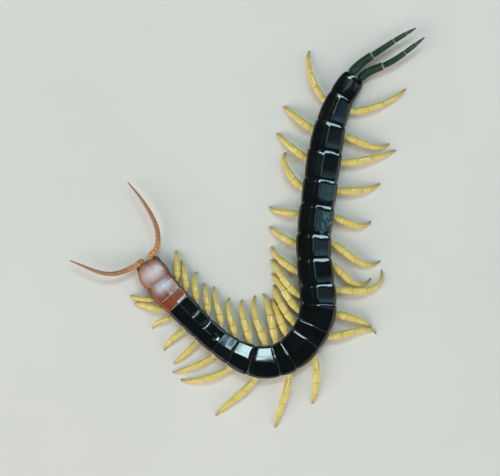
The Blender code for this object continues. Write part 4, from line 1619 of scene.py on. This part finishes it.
@dataclass(frozen=True)
class TerminalLegs:
    """The long last legs, held clear of the floor, with spines on their first two articles."""

    spread: float = 1.9
    start: float = 2.6
    straight: float = 1.6
    left_route: tuple[Triple, ...] = ((48.2, 57.0, 4.6), (56.2, 61.9, 6.0), (62.3, 66.7, 6.2))
    right_route: tuple[Triple, ...] = ((44.6, 61.0, 4.6), (52.3, 65.9, 6.0), (59.3, 70.0, 6.2))
    limb: Limb = Limb((
        Article(-0.03, 0.365, 1.62, 1.44), Article(0.365, 0.68, 1.14, 1.0), Article(0.68, 0.852, 0.90, 0.80),
        Article(0.852, 0.94, 0.64, 0.53), Article(0.94, 0.982, 0.40, 0.30), Article(0.982, 0.997, 0.20, 0.12),
    ), flatten=0.86, sides=18, profile=(
        (0.01, 0.84), (0.03, 0.94), (0.09, 1.0), (0.3, 1.03), (0.6, 1.03), (0.88, 1.0),
        (0.95, 1.04), (0.978, 1.02), (0.994, 0.86),
    ))
    # Share of the leg, degrees turned up from the inner edge, length and root radius in mm.
    spines: tuple[tuple[float, float, float, float], ...] = (
        (0.075, 38, 0.42, 0.13), (0.105, 62, 0.46, 0.14), (0.14, 30, 0.48, 0.15), (0.17, 74, 0.50, 0.15),
        (0.205, 44, 0.50, 0.15), (0.245, 66, 0.52, 0.16), (0.275, 30, 0.50, 0.15), (0.31, 52, 0.55, 0.16),
        (0.345, 62, 0.80, 0.24), (0.345, 100, 0.42, 0.13), (0.13, 128, 0.38, 0.12), (0.22, 134, 0.38, 0.12),
        (0.30, 128, 0.40, 0.12), (0.17, -35, 0.40, 0.13), (0.26, -40, 0.42, 0.13), (0.665, 15, 0.30, 0.10),
    )
    spine_sunk: float = 0.10
    spine_slant: float = 0.55
    small_claws: float = 0.970
    small_claw_length: float = 0.32

    def add_spines(self, shape: Shape, line: Line, side: Side) -> None:
        """Add the spines of the first two articles.

        Args:
            shape: The leg's shape.
            line: The leg's middle line.
            side: Its side of the animal.
        """
        for share, turn, long, thick in self.spines:
            along = line.direction(share * line.length)
            inward = Vector((-along.y, along.x, 0.0)) * side.value
            level, upright = math.cos(math.radians(turn)), math.sin(math.radians(turn))
            out = inward * level + UP * upright
            radius = self.limb.radius(self.limb.ring_at(share))
            flat = math.hypot(level, self.limb.flatten * upright)
            foot = line.at(share) + out * (radius * flat - self.spine_sunk)
            way = (out + along * self.spine_slant).normalized()
            shape.cone(foot, foot + way * (long + self.spine_sunk), thick, 7, (0.0, 5.4, 0.0))

    def add_small_claws(self, shape: Shape, line: Line) -> None:
        """Add the two accessory claws beside the leg's own claw.

        Args:
            shape: The leg's shape.
            line: The leg's middle line.
        """
        along = line.direction(self.small_claws * line.length)
        for aside in (-1, 1):
            out = Vector((along.y, -along.x, 0.0)) * aside
            foot = line.at(self.small_claws) + out * 0.14 - UP * 0.05
            tip = foot + (along + out * 0.6).normalized() * self.small_claw_length
            shape.cone(foot, tip, 0.06, 5, (0.0, 5.5, 0.0))

    def build_leg(self, side: Side, paint: Material) -> bpy.types.Object:
        """Return one terminal leg, which stands for its solid.

        Args:
            side: Its side of the animal.
            paint: Its material.

        Returns:
            The leg.
        """
        point, tailward, left = BODY.frame(BODY.line.length)
        root = point + tailward * 0.15 + left * (side.value * self.spread) + UP * self.start
        stops = self.left_route if side is Side.LEFT else self.right_route
        line = Line([tuple(root), tuple(root + tailward * self.straight), *stops])
        shape = Shape()
        self.limb.draw(shape, line.at)
        self.add_spines(shape, line, side)
        self.add_small_claws(shape, line)
        stands_for = f"terminal_leg_{side.word}"
        return shape.piece(f"terminal_skin_{side.word}", paint, [stands_for], slot="terminal_leg")

    def build(self, paint: Material) -> None:
        """Build both."""
        for side in Side:
            self.build_leg(side, paint)


@dataclass(frozen=True)
class Antennae:
    """The two antennae, of many short articles that thin toward the tip."""

    spread: float = 1.75
    start: float = 3.95
    straight: float = 0.9
    count: int = 25
    root_radius: float = 1.05
    tip_radius: float = 0.24
    thinning: float = 1.7
    crowding: float = 0.93
    sunk: float = -0.02
    stretch: float = 1.015
    left_route: tuple[Triple, ...] = (
        (-37.6, -12.6, 4.4), (-40.9, -14.9, 4.9), (-45.8, -16.7, 5.3),
        (-51.4, -16.4, 5.2), (-56.9, -14.3, 4.7), (-62.3, -12.0, 4.0),
    )
    right_route: tuple[Triple, ...] = (
        (-32.9, -9.2, 4.4), (-31.4, -5.6, 4.9), (-31.9, -0.6, 5.3),
        (-34.3, 4.8, 5.2), (-38.2, 10.7, 4.7), (-42.3, 15.6, 4.0),
    )

    def limb(self) -> Limb:
        """Return the antenna's articles, shorter near its root and its tip."""
        places = np.linspace(0.0, 1.0, self.count + 1) ** self.crowding
        places = self.sunk + places / places[-1] * self.stretch
        fall = self.root_radius - self.tip_radius
        radii = [self.root_radius - fall * max(place, 0.0) ** self.thinning for place in places]
        articles = [
            Article(float(start), float(end), radius, (radius + following) / 2)
            for start, end, radius, following in zip(places, places[1:], radii, radii[1:])
        ]
        profile = ((0.03, 0.80), (0.14, 0.95), (0.4, 1.03), (0.75, 1.06), (0.93, 1.0), (0.985, 0.82))
        tip = ((0.03, 0.85), (0.3, 1.0), (0.6, 0.9), (0.85, 0.62), (0.97, 0.3), (1.0, 0.12))
        return Limb(tuple(articles), flatten=0.84, sides=12, profile=profile, tip_profile=tip)

    def build(self, paint: Material) -> None:
        """Build both, each standing for its solid."""
        limb = self.limb()
        for side, stops in ((Side.LEFT, self.left_route), (Side.RIGHT, self.right_route)):
            point, tailward, left = BODY.frame(0.0)
            root = point - tailward * 0.3 + left * (side.value * self.spread) + UP * self.start
            line = Line([tuple(root), tuple(root - tailward * self.straight), *stops])
            shape = Shape()
            limb.draw(shape, line.at)
            shape.piece(f"antenna_skin_{side.word}", paint, [f"antenna_{side.word}"], slot="antenna")


@dataclass(frozen=True)
class Head:
    """The head: its domed plate, eyes, face, feelers' sockets and mouthparts."""

    front_notch: float = 0.35
    wall: float = 0.22
    outline: Places = (
        (0.0, 0.50), (0.03, 0.60), (0.07, 0.69), (0.14, 0.785), (0.22, 0.865), (0.32, 0.925), (0.42, 0.965),
        (0.55, 0.99), (0.67, 1.0), (0.82, 0.985), (0.92, 0.965), (0.97, 0.94), (1.0, 0.90),
    )
    tops: Places = (
        (0.0, 4.62), (0.05, 4.86), (0.12, 5.08), (0.22, 5.28), (0.42, 5.53), (0.65, 5.64), (0.86, 5.60),
        (0.95, 5.52), (1.0, 5.36),
    )
    rims: Places = ((0.0, 3.85), (0.08, 3.90), (0.22, 3.92), (0.5, 3.90), (1.0, 3.86))
    rear_past: float = 0.45
    # The face's sides at shares of the head's length: share of the half width, lower and upper level.
    side_places: tuple[float, ...] = (0.0, 0.08, 0.22, 0.42)
    side_widths: tuple[float, ...] = (0.56, 0.72, 0.87, 0.97)
    side_bottoms: tuple[float, ...] = (3.1, 2.95, 2.8, 2.75)
    side_tops: tuple[float, ...] = (4.75, 5.0, 5.3, 5.55)
    side_bulge: Places = ((0.42, 0.965), (0.58, 0.96), (0.80, 0.84))
    # Each eye's place: share of the head's length, and share of the way up the face's side.
    eyes: Places = ((0.13, 0.70), (0.20, 0.60), (0.15, 0.36), (0.23, 0.28))
    eye_radius: float = 0.31
    socket_radius: float = 1.08
    socket_thickness: float = 0.17
    palp_level: float = 2.30
    palp_stops: Places = ((3.3, 0.95), (2.2, 1.30), (1.1, 1.15), (0.2, 0.65), (-0.15, 0.42))

    def place_plate(self, across: float, along: float) -> Vector:
        """Return the plate's top surface at a place.

        Args:
            across: The place across, from -1 on the right to 1 on the left.
            along: The place from the front edge, 0, to the rear edge, 1.

        Returns:
            The point.
        """
        across, along = crowded(across, END_PULL), crowded_along(along)
        notch = self.front_notch * math.exp(-(across / 0.22) ** 2)
        front = -0.05 + notch + 0.5 * abs(across) ** 4
        rear = BODY.head_length + self.rear_past * (1 - 0.5 * across * across)
        length = front + along * (rear - front)
        half_width = BODY.head_width / 2 * between(along, *zip(*self.outline))
        rim, top = between(along, *zip(*self.rims)), between(along, *zip(*self.tops))
        arch = (1 - min(abs(across), 1.0) ** 3.0) ** 0.60
        level = rim + (top - rim) * arch
        level -= 0.10 * math.exp(-(across / 0.10) ** 2) * (1 - eased(along, 0.10, 0.34))
        for side in (-1, 1):
            level -= 0.13 * math.exp(-((across - side * 0.42) / 0.16) ** 2 - ((along - 0.14) / 0.09) ** 2)
        level += 0.085 * clipped((along - 0.915) / 0.075) - 0.06 * eased(along, 0.985, 1.0)
        level += 0.05 * (eased(abs(across), 0.94, 0.97) - eased(abs(across), 0.985, 1.0))
        return BODY.spot(length, across * half_width, level)

    def build_plate(self, paint: Material) -> bpy.types.Object:
        """Return the plate, which stands for the head's solid."""
        shape = Shape()
        shape.sheet(40, 34, self.place_plate, 0.0)
        return shape.piece("head_plate", paint, ["head"], wall=self.wall, slot="red_shell")

    def build_face(self, paint: Material) -> bpy.types.Object:
        """Return the flesh under the plate, with the face and the upper lip in front.

        Args:
            paint: Its material.

        Returns:
            The piece.
        """

        def place(angle: float, length: float) -> Vector:
            """Return a point of the flesh."""
            along = clipped(length / BODY.head_length)
            half = BODY.head_width / 2 * between(along, *zip(*self.outline))
            side, rise = math.cos(angle), math.sin(angle)
            square = squared(side, rise, 3.2)
            top, bottom = between(along, *zip(*self.tops)) - 0.55, 2.72
            bottom += 0.55 * (1 - eased(length, -0.5, 1.6))
            closing = 1 - 0.45 * (1 - eased(length, -0.55, 0.25)) - 0.5 * (1 - eased(length, -0.62, -0.5))
            middle, tall = (top + bottom) / 2, (top - bottom) / 2
            crease = 1 - 0.05 * math.exp(-(rise / 0.22) ** 2)
            aside = side * square * half * 0.93 * closing * crease
            return BODY.spot(length, aside, middle + rise * square * tall * closing)

        shape = Shape()
        rings = list(np.linspace(-0.62, 1.6, 14)) + list(np.linspace(2.1, BODY.head_length + 0.2, 14))
        shape.tube(44, rings, place, lambda angle, length: ((math.sin(angle) + 1) / 2 * 0.4, length, 0.0))
        return shape.piece("head_flesh", paint)

    def build_eyes(self, lens: Material, paint: Material) -> None:
        """Build the four simple eyes on each side, each with a raised rim.

        Args:
            lens: The eyes' material.
            paint: The rims' material.
        """
        for side in Side:
            beads, rims = Shape(), Shape()
            for along, level in self.eyes:
                point, tailward, left = BODY.frame(along * BODY.head_length)
                share, bottom, top = (
                    between(along, self.side_places, row)
                    for row in (self.side_widths, self.side_bottoms, self.side_tops)
                )
                wide = between(level, *zip(*self.side_bulge))
                centre = point + left * (side.value * share * wide * (BODY.head_width / 2 - 0.12))
                centre.z = bottom + level * (top - bottom)
                upturn, size = (0.95, 1.0) if level > 0.5 else (0.1, 0.9)
                out = (left * side.value - tailward * 0.55 + UP * upturn).normalized()
                aside = out.cross(UP).normalized()
                turn = Matrix((aside, out.cross(aside), out)).transposed()
                radius = self.eye_radius * size
                beads.bead(centre, Vector((radius, radius, radius * 0.72)), turn)
                rims.ring(centre - out * 0.02, turn, radius * 1.05, 0.07, (1.0, 0.95, 0.0))
            beads.piece(f"eyes_{side.word}", lens, smoothing=1)
            rims.piece(f"eye_rims_{side.word}", paint, smoothing=0)

    def build_sockets(self, paint: Material) -> bpy.types.Object:
        """Return the two collars from which the antennae grow."""
        shape = Shape()
        _, _, left = BODY.frame(0.0)
        turn = Matrix((left, UP, left.cross(UP))).transposed()
        for side in Side:
            centre = BODY.spot(-0.12, side.value * Antennae.spread, Antennae.start)
            shape.ring(centre, turn, self.socket_radius, self.socket_thickness, (0.2, 0.3, 0.0), 0.86)
        return shape.piece("antenna_sockets", paint, smoothing=0)

    def build_palps(self, paint: Material) -> bpy.types.Object:
        """Return the jaws' palps, folded under the face between the poison claws.

        Args:
            paint: Their material.

        Returns:
            The piece.
        """
        limb = Limb((
            Article(0.0, 0.42, 0.52, 0.50), Article(0.42, 0.74, 0.46, 0.40), Article(0.74, 0.97, 0.38, 0.26),
            Article(0.97, 1.0, 0.12, 0.05),
        ), flatten=0.75, sides=12)
        shape = Shape()
        for side in Side:
            line = Line([
                tuple(BODY.spot(length, aside * side.value, self.palp_level))
                for length, aside in self.palp_stops
            ])
            limb.draw(shape, line.at)
        return shape.piece("palps", paint)

    def build(self, shell: Material, flesh: Material, lens: Material) -> None:
        """Build every piece of the head."""
        self.build_plate(shell)
        self.build_face(flesh)
        self.build_eyes(lens, shell)
        self.build_sockets(flesh)
        self.build_palps(flesh)


@dataclass(frozen=True)
class PoisonClaws:
    """The forcipules: the broad plate under the head and the two jointed fangs."""

    top: float = 2.46
    level: float = 1.72
    # The plate at shares of the head's length: share of the half width, and lowest level.
    plate_widths: Places = ((0.38, 0.42), (0.42, 0.54), (0.50, 0.68), (0.75, 0.77), (1.0, 0.80))
    plate_bottoms: Places = ((0.38, 1.55), (0.42, 1.25), (0.50, 1.06), (1.0, 1.0))
    teeth: int = 4
    # A claw's course: share of the head's length, and distance from the middle line in mm.
    line: Places = (
        (0.40, 1.9), (0.36, 2.1), (0.27, 3.1), (0.12, 3.75), (-0.02, 3.2), (-0.10, 1.9), (-0.125, 0.55),
    )
    limb: Limb = Limb((
        Article(0.0, 0.40, 0.98, 0.95), Article(0.40, 0.49, 0.84, 0.80), Article(0.49, 0.58, 0.76, 0.70),
        Article(0.58, 1.0, 0.66, 0.30),
    ), flatten=0.86, sides=18, tip_profile=(
        (0.02, 0.88), (0.10, 1.0), (0.25, 0.96), (0.45, 0.84), (0.65, 0.66), (0.82, 0.44), (0.93, 0.26),
        (1.0, 0.10),
    ))

    def build_plate(self, paint: Material) -> bpy.types.Object:
        """Return the broad plate with its middle furrow, which stands for its solid.

        Args:
            paint: Its material.

        Returns:
            The plate.
        """

        def place(angle: float, share: float) -> Vector:
            """Return a point of the plate."""
            half = BODY.head_width / 2 * between(share, *zip(*self.plate_widths))
            bottom = between(share, *zip(*self.plate_bottoms))
            side, rise = math.cos(angle), math.sin(angle)
            square = squared(side, rise, 3.0)
            middle, tall = (self.top + bottom) / 2, (self.top - bottom) / 2
            furrow = 0.10 * math.exp(-(side / 0.06) ** 2) if rise < 0 else 0.0
            level = middle + rise * square * tall + furrow
            return BODY.spot(share * BODY.head_length, side * square * half, level)

        shape = Shape()
        rings = list(np.linspace(0.38, 0.50, 7)) + list(np.linspace(0.55, 1.02, 12))
        shape.tube(48, rings, place, lambda angle, share: (math.cos(angle), 0.3 + share * 0.5, 1.4))
        return shape.piece("coxosternite", paint, ["forcipular_plate"], slot="red_shell")

    def build_tooth_plates(self, paint: Material) -> bpy.types.Object:
        """Return the two toothed lips at the front of the plate."""
        shape = Shape()
        _, tailward, _ = BODY.frame(self.plate_widths[0][0] * BODY.head_length)
        for side in Side:
            for tooth in range(self.teeth):
                aside = side.value * (0.28 + tooth * 0.36)
                root = BODY.spot(0.405 * BODY.head_length, aside, 1.55)
                tip = root - tailward * (0.72 - tooth * 0.05) - UP * 0.02
                shape.cone(root, tip, 0.24, 8, (0.0, 3.5, 0.0), 0.07)
        return shape.piece("tooth_plates", paint)

    def build_fang(self, side: Side, paint: Material) -> bpy.types.Object:
        """Return one poison claw, which stands for its solid.

        Args:
            side: Its side of the animal.
            paint: Its material.

        Returns:
            The claw.
        """
        _, front, _ = BODY.frame(0.0)
        stops = []
        for along, aside in self.line:
            spot = BODY.spot(max(along, 0.0) * BODY.head_length, side.value * aside, self.level)
            stops.append(tuple(spot + front * (min(along, 0.0) * BODY.head_length)))
        line = Line(stops)
        shape = Shape()
        self.limb.draw(shape, line.at)
        foot = line.at(0.30)
        inward = BODY.frame(1.5)[2] * -side.value
        shape.cone(foot + inward * 0.45, foot + inward * 1.35 - front * 0.25, 0.34, 8, (0.0, 3.45, 0.0), 0.08)
        return shape.piece(f"poison_claw_{side.word}", paint, [f"forcipule_{side.word}"], slot="poison_claw")

    def build(self, shell: Material, horn: Material) -> None:
        """Build every piece."""
        self.build_plate(shell)
        self.build_tooth_plates(horn)
        for side in Side:
            self.build_fang(side, horn)


@dataclass(frozen=True)
class Lamp:
    """A soft rectangular lamp.

    Its direction is seen from the animal. Its sides and distance are in metres and its power is
    in watts. A lamp that isn't mirrored lights the animal, but glossy surfaces don't show it.
    """

    name: str
    toward: Triple
    size: Pair
    power: float
    colour: Colour
    mirrored: bool = True
    distance: float = 2.0

    def hang(self, aim: Vector) -> None:
        """Hang the lamp so that it faces a point.

        Args:
            aim: The point, in metres.
        """
        light = bpy.data.lights.new(self.name, "AREA")
        light.shape = "RECTANGLE"
        light.size, light.size_y = self.size
        light.energy = self.power
        light.color = self.colour
        lamp = bpy.data.objects.new(self.name, light)
        way = Vector(self.toward).normalized()
        lamp.location = aim + way * self.distance
        across = Vector((0.0, 1.0, 0.0)).cross(way).normalized()
        lamp.rotation_euler = Matrix((across, way.cross(across), way)).transposed().to_euler()
        lamp.visible_glossy = self.mirrored
        bpy.context.scene.collection.objects.link(lamp)


@dataclass(frozen=True)
class Studio:
    """A plain pale floor, soft studio lamps and the camera at the photograph's angle."""

    floor_half: float = 900.0
    aim: Triple = (0.7, -4.0, 2.5)
    view_width: float = 175.0
    distance: float = 700.0
    elevation: float = 84.0
    sensor: float = 36.0
    near: float = 0.01
    far: float = 10.0
    lamps: tuple[Lamp, ...] = (
        Lamp("window", (0.200, 0.428, 0.882), (0.91, 0.32), 9.5, (0.55, 0.88, 1.0)),
        Lamp("side_window", (-0.078, 0.315, 0.946), (0.19, 0.34), 3.1, (0.66, 0.96, 1.0)),
        Lamp("panel", (0.33, 0.03, 0.943), (0.72, 0.16), 0.36, (0.35, 0.80, 1.0)),
        Lamp("dim_panel", (0.33, 0.0925, 0.94), (0.72, 0.09), 0.07, (0.40, 0.80, 1.0)),
        Lamp("top_glow", (-0.02, 0.122, 0.992), (0.34, 0.26), 0.33, (0.50, 0.85, 1.0)),
    )
    # The two broad lamps are each hung twice, in shares of their power, mirrored and not.
    broad_lamps: tuple[Lamp, ...] = (
        Lamp("key", (-0.75, -0.55, 0.64), (2.2, 1.8), 48.0, (1.0, 0.95, 0.88)),
        Lamp("fill", (0.95, -0.35, 0.55), (2.2, 1.8), 30.0, (1.0, 0.96, 0.91)),
    )
    shares: tuple[tuple[str, float, bool], ...] = (("bright", 0.4, True), ("soft", 0.6, False))
    surroundings: Colour = (0.80, 0.88, 1.0)
    surroundings_strength: float = 0.05

    def floor_paint(self) -> Material:
        """Return the matte, faintly mottled paper of the floor."""
        paint = Paint("floor_paper")
        clouds = paint.cloud(60.0)
        colour = paint.mix(clouds.rise(0.3, 0.8), (0.82, 0.785, 0.74), (0.78, 0.745, 0.705))
        return paint.dress(
            Base_Color=colour, Roughness=0.85, Normal=paint.relief(paint.cloud(0.8), 0.03, 0.3),
            Specular_IOR_Level=0.2,
        )

    def build_floor(self) -> bpy.types.Object:
        """Return the floor."""
        shape = bmesh.new()
        bmesh.ops.create_grid(shape, x_segments=2, y_segments=2, size=self.floor_half * MM)
        mesh = bpy.data.meshes.new("floor")
        shape.to_mesh(mesh)
        shape.free()
        floor = bpy.data.objects.new("floor", mesh)
        floor.data.materials.append(self.floor_paint())
        bpy.context.scene.collection.objects.link(floor)
        floor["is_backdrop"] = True
        return floor

    def build_camera(self) -> bpy.types.Object:
        """Return the camera, looking down as the photographer did."""
        lens = bpy.data.cameras.new("camera")
        lens.sensor_width = self.sensor
        lens.lens = self.sensor * self.distance / self.view_width
        lens.clip_start = self.near
        lens.clip_end = self.far
        camera = bpy.data.objects.new("camera", lens)
        tilt = math.radians(self.elevation)
        back = Vector((0.0, -math.cos(tilt), math.sin(tilt)))
        camera.location = (Vector(self.aim) + back * self.distance) * MM
        camera.rotation_euler = (math.pi / 2 - tilt, 0.0, 0.0)
        bpy.context.scene.collection.objects.link(camera)
        bpy.context.scene.camera = camera
        return camera

    def build_lamps(self) -> None:
        """Hang the lamps and set the dim surroundings."""
        aim = Vector(self.aim) * MM
        for lamp in self.lamps:
            lamp.hang(aim)
        for word, share, mirrored in self.shares:
            for lamp in self.broad_lamps:
                name = f"{lamp.name}_{word}"
                replace(lamp, name=name, power=lamp.power * share, mirrored=mirrored).hang(aim)
        world = bpy.data.worlds.new("surroundings")
        world.use_nodes = True
        inputs = world.node_tree.nodes["Background"].inputs
        inputs["Color"].default_value = (*self.surroundings, 1.0)
        inputs["Strength"].default_value = self.surroundings_strength
        bpy.context.scene.world = world

    def build(self) -> None:
        """Set the whole stage."""
        self.build_floor()
        self.build_camera()
        self.build_lamps()
        bpy.context.scene.view_settings.view_transform = "Standard"


def main() -> None:
    """Build the pieces in order, from the trunk out, then the stage."""
    logging.basicConfig(level=logging.INFO, format="%(message)s")
    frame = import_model()
    solids_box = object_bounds()
    black, red = BlackShell().build(), RedShell().build()
    skin, belly = SoftSkin().build(), BellyPlate().build()
    TrunkSkin().build(skin, [name for name in frame["nodes"] if name.startswith("trunk_")])
    for number in range(1, BODY.count + 1):
        is_red = number <= RED_TERGITES
        Tergite(number).build(red if is_red else black, "red_shell" if is_red else "black_shell")
        Sternite(number).build(belly)
    Spiracles().build(skin)
    tail = TailEnd()
    for side in Side:
        tail.build_lobe(side, belly)
    tail.build_end(skin)
    WalkingLegs().build(LegCuticle().build())
    TerminalLegs().build(TerminalCuticle().build())
    Antennae().build(AntennaCuticle().build())
    Head().build(red, FaceFlesh().build(), EyeLens().build())
    PoisonClaws().build(red, FangHorn().build())
    Studio().build()
    boxes = {"cad": solids_box, "visual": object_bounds()}
    {name: [list(corner) for corner in box] for name, box in boxes.items()}


if __name__ == "__main__":
    main()
